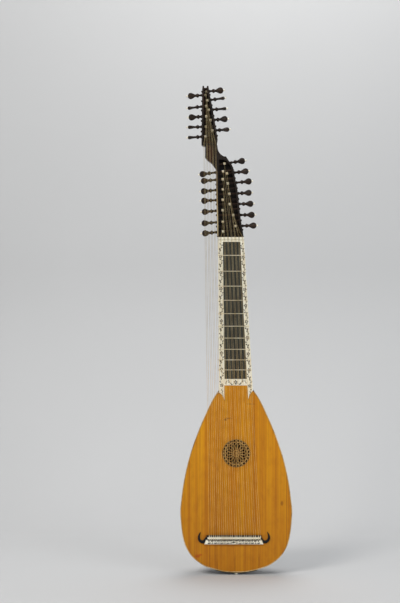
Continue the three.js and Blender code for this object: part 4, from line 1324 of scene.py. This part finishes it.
# Turns of the flat heads about their axes in degrees, and how much farther out each peg stands in mm
HEAD_TURNS = {
    "lower_bass_peg": (0, 14, -8, 6, 0, -12, 8),
    "lower_treble_peg": (10, -6, 0, 12, -4, 8, -10),
    "upper_bass_peg": (84, 78, 4, 88, -6),
    "upper_treble_peg": (46, 6, 86, 82, -4),
}
HEAD_EXTRAS = {
    "lower_bass_peg": (3.8, 4.8, 3.8, 5.3, 5.6, 5.2, 8.6),
    "lower_treble_peg": (2.9, 2.8, 2.3, 1.1, 6.3, 3.1, 3.3),
    "upper_bass_peg": (1.5, 1.7, 0, 2.8, 2.8),
    "upper_treble_peg": (0, 0.1, 1.6, 2.5, 2.6),
}
PEG_STAND_OUT = 0.042
PEG_SIDES = 24


class Peg:
    def __init__(self, joint):
        self.name = joint["child"]
        self.axis = Vector(joint["axis"]).normalized()
        if self.axis.x * (1 if "treble" in self.name else -1) < 0:
            self.axis = -self.axis
        node = frame["nodes"][self.name]
        on_axis = Vector(joint["pos_m"])
        along = [(v.co - on_axis).dot(self.axis) for v in node.data.vertices]
        top = on_axis + self.axis * max(along)
        row, _, number = self.name.rpartition("_")
        self.turn = HEAD_TURNS[row][int(number) - 1]
        self.extra = HEAD_EXTRAS[row][int(number) - 1] * MM
        stand_out = PEG_STAND_OUT + self.extra
        self.seat = top - self.axis * stand_out - SHIFT
        self.inside = max(along) - min(along) - stand_out
        self.side = Vector((0, 1, 0)).cross(self.axis).normalized()
        self.front = Vector((0, -1, 0))

    def at(self, out):
        return self.seat + self.axis * out


pegs = {
    joint["child"]: Peg(joint)
    for joint in frame["joints"] if joint["child"].startswith(("lower", "upper"))
}

SHANK_RADIUS = 0.0032
TIP_RADIUS = 0.0028
TIP_END_SHARE = 0.72
TIP_ROUNDING = 0.5 * MM
SEAT_OVERLAP = 0.0002
# Distance out from the seat, half width and half thickness in mm
SEATED_PROFILE = [
    (0.0, 3.15, 3.15), (0.1, 3.8, 3.8), (0.5, 4.2, 4.2), (1.7, 4.3, 4.3), (2.9, 4.05, 4.05), (3.7, 3.5, 3.5),
    (4.3, 3.1, 3.1),
]
HEAD_PROFILE = [
    (5.6, 3.0, 3.0), (6.4, 3.5, 3.5), (7.2, 4.8, 4.8), (8.4, 5.6, 5.6), (9.9, 5.85, 5.85),
    (11.6, 5.4, 5.4), (13.0, 4.5, 4.5), (14.2, 3.7, 3.5), (15.4, 3.5, 3.1), (17.2, 3.9, 3.0),
    (19.2, 4.8, 3.0), (21.2, 6.0, 3.1), (23.4, 7.3, 3.3), (25.6, 8.3, 3.6), (27.8, 8.9, 4.0),
    (29.8, 9.0, 4.5), (31.8, 8.7, 4.85), (33.6, 7.9, 4.95), (35.0, 6.7, 4.75), (36.0, 5.3, 4.2),
    (36.8, 3.8, 3.4), (37.2, 2.4, 2.4),
]
PIP_PROFILE = [
    (36.9, 1.3), (37.4, 1.9), (38.2, 2.35), (39.2, 2.55), (40.2, 2.45), (41.0, 2.05), (41.6, 1.4),
    (41.95, 0.6),
]


def peg_rings(peg, profile):
    """Rings about the axis of a peg from (out, half width, half thickness), turned like its flat head."""
    turn = math.radians(peg.turn)
    wide = peg.side * math.cos(turn) + peg.front * math.sin(turn)
    thick = peg.axis.cross(wide)
    return [
        [
            peg.at(out) + wide * math.cos(a) * half_width + thick * math.sin(a) * half_thickness
            for a in circle(PEG_SIDES)
        ]
        for out, half_width, half_thickness in profile
    ]


for peg in pegs.values():
    profile = [
        (-peg.inside, TIP_RADIUS * TIP_END_SHARE, TIP_RADIUS * TIP_END_SHARE),
        (-peg.inside + TIP_ROUNDING, TIP_RADIUS, TIP_RADIUS), (-SEAT_OVERLAP, SHANK_RADIUS, SHANK_RADIUS),
    ]
    profile += [(out * MM, wide * MM, thick * MM) for out, wide, thick in SEATED_PROFILE]
    profile += [(out * MM + peg.extra, wide * MM, thick * MM) for out, wide, thick in HEAD_PROFILE]
    turned = Shape().rings(peg_rings(peg, profile))
    make_piece(f"{peg.name}_turned", turned, "peg", peg.name, (peg.name,), sharp_angle=50)
    pip = [(out * MM + peg.extra, radius * MM, radius * MM) for out, radius in PIP_PROFILE]
    make_piece(f"{peg.name}_pip", Shape().rings(peg_rings(peg, pip)), "ivory", peg.name, sharp_angle=50)

# Pegboxes: smooth outlines, a cavity open to the front, bores for the pegs

BOX_FRONT_Y = 0.001
BOX_BACK_Y = 0.031
CAVITY_BACK_Y = 0.027
CAVITY_PAST_FRONT = 0.005
BOX_LEFT_X = NECK_NUT_OFFSET - NECK_NUT_WIDTH / 2 - 0.003
LOWER_BOX_WIDTH = NECK_NUT_WIDTH + 0.002
LOWER_BOX_LENGTH = 0.257
BOX_FOOT_Z = NUT_Z + NUT_WIDTH / 2 + 0.0015
BASS_CHEEK_LEAN = 0.0024
UPPER_BOX_WIDTH = 0.0436
UPPER_BOX_LENGTH = 0.239
UPPER_FOOT_Z = BOX_FOOT_Z + LOWER_BOX_LENGTH * 0.712
UPPER_ROOT_X = BOX_LEFT_X - GLUE_GAP
CHEEK = 0.005
BORE_RADIUS = 0.00345
BORE_PAST_TIP = 0.006
BORE_PAST_SEAT = 0.004
BOX_EDGE = 0.5 * MM
LOWER_RIGHT_SHARES = [
    (1, 0), (0.944, 0.101), (0.872, 0.237), (0.774, 0.502), (0.681, 0.638), (0.601, 0.755), (0.448, 0.825),
]
LOWER_TOP_SHARES = [
    (0.336, 0.874), (0.246, 0.876), (0.13, 0.9), (0.067, 0.924), (0.038, 0.945), (0.022, 0.968),
    (0.012, 0.996), (0, 0.996),
]
UPPER_RIGHT_SHARES = [(-0.05, 0.372), (0.05, 0.49), (0.16, 0.611), (0.316, 0.77), (0.455, 0.9)]
UPPER_TOP_SHARES = [(0.545, 1), (0.635, 1), (0.66, 0.977), (0.81, 0.977), (0.83, 1), (0.925, 1)]
UPPER_LEFT_SHARES = [(0.95, 0.958), (0.985, 0.49), (0.995, 0.318)]
UPPER_FOOT_SHARES = [
    (0.96, 0.305), (0.75, 0.293), (0.75, 0.164), (0.571, 0.126), (0.339, 0.096), (0.14, 0.045),
    (0.057, 0.025), (0, 0.025), (0, 0.313),
]


def lower_point(shares):
    return (BOX_LEFT_X + shares[0] * LOWER_BOX_WIDTH, BOX_FOOT_Z + shares[1] * LOWER_BOX_LENGTH)


def upper_point(shares):
    return (UPPER_ROOT_X - shares[0] * UPPER_BOX_WIDTH, UPPER_FOOT_Z + shares[1] * UPPER_BOX_LENGTH)


def prism(name, outline, front_y, back_y):
    """A straight plate as an object without a material, for cutting or to be cut."""
    rings = [[Vector((x, y, z)) for x, z in outline] for y in (front_y, back_y)]
    return new_object(name, with_outward_faces(new_mesh(name, Shape().rings(rings))))


def bore(peg):
    profile = [(-peg.inside - BORE_PAST_TIP, BORE_RADIUS), (BORE_PAST_SEAT, BORE_RADIUS)]
    rings = lathe(profile, peg.seat, peg.axis, PEG_SIDES)
    return new_object("bore", new_mesh("bore", Shape().rings(rings)))


def carved(name, outline, cavity, bores, stands_for):
    """A pegbox: its cavity and bores are cut, then its edges are rounded."""
    body = prism(name, outline, BOX_FRONT_Y, BOX_BACK_Y)
    mesh = cut_mesh(body, [prism("cavity", cavity, BOX_FRONT_Y - CAVITY_PAST_FRONT, CAVITY_BACK_Y), *bores])
    bpy.data.objects.remove(body)
    return place_piece(name, mesh, "head", "root", stands_for, 40, BOX_EDGE)


def wall_x(line, z):
    """Where a line of rising points stands at a height."""
    points = sorted(line, key=lambda point: point[1])
    for (x0, z0), (x1, z1) in zip(points, points[1:]):
        if z0 <= z <= z1:
            return mix(x0, x1, (z - z0) / (z1 - z0)) if z1 > z0 else x0
    return points[0][0] if z < points[0][1] else points[-1][0]


lower_right = catmull([lower_point(s) for s in LOWER_RIGHT_SHARES], 5)
lower_top = catmull([lower_point(s) for s in LOWER_TOP_SHARES[:-1]], 4)
bass_cheek_top_z = UPPER_FOOT_Z + UPPER_BOX_LENGTH * 0.02
lower_left = [
    lower_point((0, 0)), (BOX_LEFT_X - BASS_CHEEK_LEAN, bass_cheek_top_z),
    (BOX_LEFT_X, bass_cheek_top_z + GLUE_GAP), lower_point(LOWER_TOP_SHARES[-1]),
]
lower_outline = [*lower_left[-2::-1], *lower_right, *lower_top, lower_left[-1]]
lower_cavity_tops = [lower_point((0.34, 0.828)), lower_point((0.25, 0.84))]
lower_cavity = [
    (BOX_LEFT_X + CHEEK, BOX_FOOT_Z - 0.004),
    (BOX_LEFT_X + LOWER_BOX_WIDTH - CHEEK / 2, BOX_FOOT_Z - 0.004),
    (BOX_LEFT_X + LOWER_BOX_WIDTH - CHEEK / 2, BOX_FOOT_Z),
    *[(x - CHEEK, z) for x, z in lower_right[5:-1] if z < lower_point((0, 0.8))[1]],
    *lower_cavity_tops, (BOX_LEFT_X + CHEEK, lower_cavity_tops[-1][1]),
]
lower_bores = [bore(peg) for name, peg in pegs.items() if name.startswith("lower")]
carved("lower_head", lower_outline, lower_cavity, lower_bores, ("lower_pegbox",))

upper_right = catmull([upper_point(s) for s in [*UPPER_RIGHT_SHARES, UPPER_TOP_SHARES[0]]], 5)
upper_top = [upper_point(s) for s in UPPER_TOP_SHARES[1:]]
upper_left = [upper_point(s) for s in UPPER_LEFT_SHARES]
upper_foot = [upper_point(s) for s in UPPER_FOOT_SHARES]
upper_sweep = catmull(upper_foot[2:7], 5)
upper_outline = [
    *upper_right, *upper_top, *upper_left, *upper_foot[:2], *upper_sweep, *upper_foot[7:],
]
upper_cavity_left = upper_left[-1][0] + CHEEK
upper_cavity_foot_z = UPPER_NUT_Z + UPPER_NUT_WIDTH / 2 + GLUE_GAP * 3
upper_cavity = [
    (upper_cavity_left, upper_cavity_foot_z), (upper_right[0][0] - CHEEK, upper_cavity_foot_z),
    *[(x - CHEEK, z) for x, z in upper_right[3:-6]],
]
for shares, cheeks in (((0.57, 0.962), -0.7), ((0.938, 0.962), 0.8), ((0.932, 0.9), 0.9)):
    x, z = upper_point(shares)
    upper_cavity.append((x + cheeks * CHEEK, z))
upper_bores = [bore(peg) for name, peg in pegs.items() if name.startswith("upper")]
carved("upper_head", upper_outline, upper_cavity, upper_bores, ("upper_pegbox",))

# Pale stringing let into the front edge of the long cheek

STRINGING_WIDTH = 2.2 * MM
STRINGING_PROUD = 0.1 * MM
STRINGING_STEPS = 12
stringing = []
for step in range(STRINGING_STEPS + 1):
    z = mix(BOX_FOOT_Z + 0.002, bass_cheek_top_z - 0.002, step / STRINGING_STEPS)
    stringing.append((wall_x(lower_left, z) + STRINGING_WIDTH * 0.85, z))
make_piece(
    "cheek_stringing",
    Shape().rings(ribbon(
        stringing, STRINGING_WIDTH, BOX_FRONT_Y - STRINGING_PROUD, BOX_FRONT_Y + 0.3 * MM,
    )),
    "boxwood",
)


# Gut wound on the shanks, and the strings from the bridge over their nut to the pegs

# Where each coil sits across its box, from the peg nearest to the nut upwards
LOWER_ENDS = {
    "bass": (0.2, 0.2, 0.22, 0.24, 0.27, 0.3, 0.36),
    "treble": (0.79, 0.74, 0.6, 0.62, 0.6, 0.62, 0.6),
}
UPPER_ENDS = {"bass": (0.16, 0.24, 0.3, 0.36, 0.4), "treble": (0.84, 0.76, 0.7, 0.64, 0.6)}
COIL_TURNS = 9
COIL_STEPS = 12
COIL_SIDES = 7
COIL_PITCH = 2.1
COIL_RADIUS = SHANK_RADIUS + STRING_RADIUS
COIL_MARGIN = 0.8 * MM


def coil_place(peg, share, left_wall, right_wall):
    """The middle of a coil on the axis of a peg, clear of both cheeks."""
    left = wall_x(left_wall, peg.seat.z) + CHEEK
    right = wall_x(right_wall, peg.seat.z) - CHEEK
    half = COIL_TURNS * STRING_RADIUS + COIL_MARGIN
    x = min(max(mix(left, right, share), left + half), right - half)
    return peg.at((x - peg.seat.x) / peg.axis.x)


def coil(peg, middle):
    thick = peg.axis.cross(peg.side)
    points = []
    for step in range(COIL_TURNS * COIL_STEPS + 1):
        a = 2 * math.pi * step / COIL_STEPS
        along = (step / COIL_STEPS - COIL_TURNS / 2) * STRING_RADIUS * COIL_PITCH
        points.append(
            middle + peg.axis * along + (peg.side * math.cos(a) + thick * math.sin(a)) * COIL_RADIUS
        )
    return Shape().rings(tube(points, STRING_RADIUS, COIL_SIDES))


def string_path(bridge_x, nut_x, nut_z, nut_width, middle):
    """From the front of the bridge over the nut to the front of the coil."""
    nut_y = -STRING_LIFT_AT_NUT - 0.05 * MM
    foot = Vector((bridge_x, BRIDGE_HOLE_Y, BRIDGE_TOP_Z - 1.5 * MM))
    nut_low = Vector((nut_x, nut_y, nut_z - nut_width * 0.3))
    nut_high = Vector((nut_x, nut_y + 0.1 * MM, nut_z + nut_width * 0.4))
    end = middle + Vector((0, -COIL_RADIUS, 0))
    free_length = [foot.lerp(nut_low, share) for share in (0.25, 0.5, 0.75)]
    return [
        foot, *free_length, nut_low, nut_high, nut_high.lerp(end, 0.5), end,
        end + Vector((0, 1.4 * MM, 2.4 * MM)),
    ]


BRIDGE_TOP_Z = 0.1068
BRIDGE_FOOT_Z = 0.0818
APRON_TOP_Z = 0.0943
BRIDGE_BACK_Y = -GLUE_GAP
BLOCK_FRONT_Y = BRIDGE_BACK_Y - 0.0065
APRON_FRONT_Y = BRIDGE_BACK_Y - 0.00455
BRIDGE_HOLE_Y = -0.0048
strings_shape = Shape()
wound = []


def add_strings(box, bridge_places, nut_places, nut_z, nut_width, ends, walls):
    """The strings of one pegbox, from the bass side, and the coil that each ends at."""
    count = len(bridge_places)
    for i, (bridge_x, nut_x) in enumerate(zip(bridge_places, nut_places)):
        is_bass = i < count / 2
        side = "bass" if is_bass else "treble"
        index = i if is_bass else count - 1 - i
        peg = pegs[f"{box}_{side}_peg_{index + 1}"]
        middle = coil_place(peg, ends[side][index], *walls)
        wound.append((peg, middle))
        path = string_path(bridge_x, nut_x, nut_z, nut_width, middle)
        strings_shape.rings(tube(path, STRING_RADIUS, STRING_SIDES))


lower_walls = (lower_left, lower_right)
upper_walls = (upper_left, upper_right)
add_strings("lower", FRETTED_BRIDGE_X, FRETTED_NUT_X, NUT_Z, NUT_WIDTH, LOWER_ENDS, lower_walls)
add_strings("upper", BASS_BRIDGE_X, BASS_NUT_X, UPPER_NUT_Z, UPPER_NUT_WIDTH, UPPER_ENDS, upper_walls)
make_piece("gut_strings", strings_shape, "string", stands_for=("strings",), sharp_angle=60)
for peg, middle in wound:
    make_piece(f"{peg.name}_winding", coil(peg, middle), "gut", peg.name, sharp_angle=70)

# Bridge: dark block with string holes, ivory cap, engraved ivory apron and a hook at each end

HOLE_RADIUS = 0.75 * MM
HOLE_SIDES = 12
BLOCK_INSET = 0.009
BLOCK_FLARE = 0.0036
APRON_TAPER = 0.0045
APRON_GAP = 0.1 * MM


def bridge_block():
    """The block as one bar, its top edge rounded, bored from top to bottom for each string."""
    section = [
        (BRIDGE_BACK_Y, APRON_TOP_Z, 0), (BLOCK_FRONT_Y + 0.6 * MM, APRON_TOP_Z, 0),
        (BLOCK_FRONT_Y, APRON_TOP_Z + 0.6 * MM, 0), (BLOCK_FRONT_Y, BRIDGE_TOP_Z - 2.2 * MM, 0.8),
        (BLOCK_FRONT_Y + 0.7 * MM, BRIDGE_TOP_Z - 0.7 * MM, 0.95),
        (BLOCK_FRONT_Y + 2.2 * MM, BRIDGE_TOP_Z, 1), (BRIDGE_BACK_Y, BRIDGE_TOP_Z, 1),
    ]
    rings = []
    for x, sign in ((BRIDGE_LEFT + BLOCK_INSET, -1), (BRIDGE_RIGHT - BLOCK_INSET, 1)):
        rings.append([Vector((x + sign * BLOCK_FLARE * spread, y, z)) for y, z, spread in section])
    return Shape().rings(rings)


def hole_cutter(x):
    rings = lathe(
        [(0, HOLE_RADIUS), (BRIDGE_TOP_Z - APRON_TOP_Z + 0.004, HOLE_RADIUS)],
        (x, BRIDGE_HOLE_Y, APRON_TOP_Z - 0.002), (0, 0, 1), HOLE_SIDES,
    )
    return Shape().rings(rings)


block = make_piece("bridge_block", bridge_block(), "ebony", stands_for=("bridge",), sharp_angle=50)
hole_shape = Shape()
for x in [*FRETTED_BRIDGE_X, *BASS_BRIDGE_X]:
    cutter = hole_cutter(x)
    hole_shape.add(cutter.points, cutter.faces)
holes = make_piece("holes", hole_shape, "ebony")
block.data = cut_mesh(block, [holes])
cap_low, cap_high = node_span("bridge_cap")


def cap():
    """The ivory strip, a little cushioned across."""
    section = [
        (cap_high.y, cap_low.z), (cap_low.y + 0.5 * MM, cap_low.z),
        (cap_low.y + 0.12 * MM, cap_low.z + 0.4 * MM), (cap_low.y, (cap_low.z + cap_high.z) / 2),
        (cap_low.y + 0.12 * MM, cap_high.z - 0.4 * MM), (cap_low.y + 0.5 * MM, cap_high.z),
        (cap_high.y, cap_high.z),
    ]
    return Shape().rings([[Vector((x, y, z)) for y, z in section] for x in (cap_low.x, cap_high.x)])


make_piece("ivory_cap", cap(), "ivory", stands_for=("bridge_cap",), sharp_angle=60, bevel=0.2 * MM)
apron_loop = [
    (BRIDGE_LEFT, BRIDGE_FOOT_Z), (BRIDGE_RIGHT, BRIDGE_FOOT_Z),
    (BRIDGE_RIGHT - APRON_TAPER, APRON_TOP_Z - APRON_GAP),
    (BRIDGE_LEFT + APRON_TAPER, APRON_TOP_Z - APRON_GAP),
]
plate("bridge_apron", [apron_loop], APRON_FRONT_Y, BRIDGE_BACK_Y, "ivory", 0.4 * MM, ("bridge",))
HOOK_FRONT_Y = BRIDGE_BACK_Y - 0.003
HOOKS = {
    "bass": [
        (-80, 99, 12), (-85, 93, 11), (-91, 88.8, 9.5), (-98, 89.2, 8), (-103, 94, 7), (-104.4, 101, 6),
        (-103.4, 108, 4.2), (-100, 115, 1.2),
    ],
    "treble": [
        (66, 100, 10), (70.5, 94, 9.5), (76, 89.3, 8.5), (83, 88.6, 7.5), (89, 93, 6.8), (91.6, 100, 6),
        (90.8, 107.5, 4.4), (87, 116, 1.2),
    ],
}
HOOK_STEPS = 6
HOOK_CROWN = 0.8 * MM
for side, centre_line in HOOKS.items():
    line = catmull(centre_line, HOOK_STEPS)
    points = [(x * MM, z * MM) for x, z, _ in line]
    widths = [width * MM for _, _, width in line]
    hook = ribbon(points, widths, HOOK_FRONT_Y + HOOK_CROWN, BRIDGE_BACK_Y, False, None, HOOK_CROWN)
    make_piece(
        f"bridge_hook_{side}", Shape().rings(hook), "ebony", stands_for=("bridge",), sharp_angle=50,
    )

APRON_STEM_STEPS = 96
APRON_WAVES = 8
APRON_SWING = 0.0030
# Heading and size of the leaves on one side of a wave, headings of those on the other
APRON_LEAVES = ((2.5, 1.0), (1.57, 0.8), (0.7, 0.95))
APRON_SMALL_LEAVES = (1.2, 2.0)


def apron_engraving():
    """Scrolling stems with leaves that meet in a palmette in the middle."""
    shape = Shape()
    z0 = (BRIDGE_FOOT_Z + APRON_TOP_Z) / 2
    reach = BRIDGE_LENGTH / 2 - BLOCK_INSET
    for sign in (-1, 1):
        stem = []
        for step in range(APRON_STEM_STEPS + 1):
            share = step / APRON_STEM_STEPS
            swing = APRON_SWING * math.sin(share * math.pi * APRON_WAVES) * (1 - 0.3 * share)
            stem.append((BRIDGE_OFFSET + sign * mix(0.004, reach, share), z0 + swing))
        stroke(shape, stem, 1.2 * MM)
        for wave in range(APRON_WAVES):
            share = (wave + 0.5) / APRON_WAVES
            px, pz = stem[round(share * APRON_STEM_STEPS)]
            up = 1 if wave % 2 == 0 else -1
            for turn, size in APRON_LEAVES:
                heading = turn * up if sign > 0 else math.pi - turn * up
                leaf(shape, px, pz - up * 0.0008, heading, 0.0064 * size, 0.0026 * size)
            for turn in APRON_SMALL_LEAVES:
                heading = -up * turn if sign > 0 else math.pi + up * turn
                leaf(shape, px, pz - up * 0.003, heading, 0.0056, 0.0023)
    for turn in (-2, -1, 0, 1, 2):
        heading = math.pi / 2 + turn * 0.55
        leaf(shape, BRIDGE_OFFSET, z0 - 0.003, heading, 0.0085 - abs(turn) * 0.0012, 0.0021)
    return shape


def apron_line(height, inset):
    """A line along the apron, inside one of its long edges."""
    share = (height - BRIDGE_FOOT_Z) / (APRON_TOP_Z - BRIDGE_FOOT_Z)
    left = mix(BRIDGE_LEFT, BRIDGE_LEFT + APRON_TAPER, share) + inset
    right = mix(BRIDGE_RIGHT, BRIDGE_RIGHT - APRON_TAPER, share) - inset
    return [(mix(left, right, step / 20), height) for step in range(21)]


engraving = apron_engraving()
stroke(engraving, apron_line(APRON_TOP_Z - 1.3 * MM, 1.5 * MM), 1.5 * MM)
stroke(engraving, apron_line(BRIDGE_FOOT_Z + 1.1 * MM, 1.5 * MM), 0.5 * MM)
engraving.points = [p + Vector((0, APRON_FRONT_Y, 0)) for p in engraving.points]
make_piece("apron_engraving", engraving, "ink")


TIE_SPREAD = 0.8 * MM
TIE_RADIUS = 0.42 * MM
TIE_STEPS = 3
TIE_LEAN = 0.35


def tie(x, lean):
    """The end of a string: up over the cap from below, caught under the string at the top."""
    y_over = CAP_FRONT_Y - TIE_RADIUS
    shape = Shape()
    for offset in (-TIE_SPREAD, 0, TIE_SPREAD):
        line = catmull([
            (x, BRIDGE_HOLE_Y, APRON_TOP_Z + 0.2 * MM),
            (x + offset * 0.6, BLOCK_FRONT_Y + 1.2 * MM, APRON_TOP_Z - 0.5 * MM),
            (x + offset, BLOCK_FRONT_Y - 0.9 * MM, APRON_TOP_Z + 0.6 * MM),
            (x + offset, y_over, cap_low.z + 0.5 * MM),
            (x + offset + lean * 0.3, y_over, (cap_low.z + cap_high.z) / 2),
            (x + offset + lean, y_over, cap_high.z - 0.2 * MM),
            (x + offset + lean, BLOCK_FRONT_Y - 0.8 * MM, cap_high.z + 1.2 * MM),
            (x + offset * 0.4, BLOCK_FRONT_Y - 0.3 * MM, BRIDGE_TOP_Z - 1.6 * MM),
            (x, BRIDGE_HOLE_Y - 0.8 * MM, BRIDGE_TOP_Z + 0.4 * MM),
        ], TIE_STEPS)
        shape.rings(tube(line, TIE_RADIUS, KNOT_SIDES))
    return shape


ties = Shape()
chance = random.Random(7)
for x in [*FRETTED_BRIDGE_X, *BASS_BRIDGE_X]:
    one = tie(x, chance.uniform(-TIE_LEAN, TIE_LEAN) * MM)
    ties.add(one.points, one.faces)
make_piece("string_ties", ties, "gut", sharp_angle=60)

# Floor and backdrop in one sweep, soft lights

FLOOR_DROP = 0.001
FLOOR_FRONT_Y = -2.6
WALL_Y = 1.6
SWEEP_RADIUS = 0.9
STAGE_HALF_WIDTH = 5.0
WALL_TOP_Z = 4.5
SWEEP_STEPS = 16
sweep = [(FLOOR_FRONT_Y, -FLOOR_DROP), (WALL_Y - SWEEP_RADIUS, -FLOOR_DROP)]
for step in range(1, SWEEP_STEPS + 1):
    a = math.pi / 2 * step / SWEEP_STEPS
    sweep.append((
        WALL_Y - SWEEP_RADIUS + SWEEP_RADIUS * math.sin(a), -FLOOR_DROP + SWEEP_RADIUS * (1 - math.cos(a))
    ))
sweep.append((WALL_Y, WALL_TOP_Z))
stage_mesh = bpy.data.meshes.new("backdrop")
stage_mesh.from_pydata(
    [(x, y, z) for x in (-STAGE_HALF_WIDTH, STAGE_HALF_WIDTH) for y, z in sweep], [],
    [[len(sweep) + i, len(sweep) + i + 1, i + 1, i] for i in range(len(sweep) - 1)],
)
stage_mesh.shade_smooth()
stage_mesh.materials.append(stage_material("pale_backdrop", grey(0.62)))
new_object("backdrop", stage_mesh)


def area_light(name, place, target, size, watts, colour=(1, 1, 1)):
    data = bpy.data.lights.new(name, "AREA")
    data.shape = "DISK"
    data.size = size
    data.energy = watts
    data.color = colour
    item = new_object(name, data)
    item.location = place
    aim = Vector(target) - Vector(place)
    item.rotation_euler = aim.to_track_quat("-Z", "Y").to_euler()
    item.visible_camera = False


area_light("key", (-1.9, -2.6, 2.9), (-0.05, 0, 0.7), 1.6, 75, (1, 0.97, 0.93))
area_light("fill", (2.4, -2.4, 1.4), (0, 0, 0.6), 2.2, 32, (0.94, 0.97, 1))
area_light("top", (0.2, 0.8, 3.0), (0, 0.1, 0.6), 1.8, 34)
world = bpy.data.worlds.new("surroundings")
world.use_nodes = True
lit = world.node_tree.nodes["Background"]
lit.inputs["Color"].default_value = (0.9, 0.95, 1, 1)
lit.inputs["Strength"].default_value = 0.32
plain = add_node(world.node_tree, "ShaderNodeBackground")
plain.inputs["Color"].default_value = grey(0.58)
camera_ray = add_node(world.node_tree, "ShaderNodeLightPath").outputs["Is Camera Ray"]
mixed_light = add_node(world.node_tree, "ShaderNodeMixShader")
for index, socket in enumerate((camera_ray, lit.outputs[0], plain.outputs[0])):
    world.node_tree.links.new(socket, mixed_light.inputs[index])
world_output = world.node_tree.nodes["World Output"]
world.node_tree.links.new(mixed_light.outputs[0], world_output.inputs["Surface"])
scene.world = world
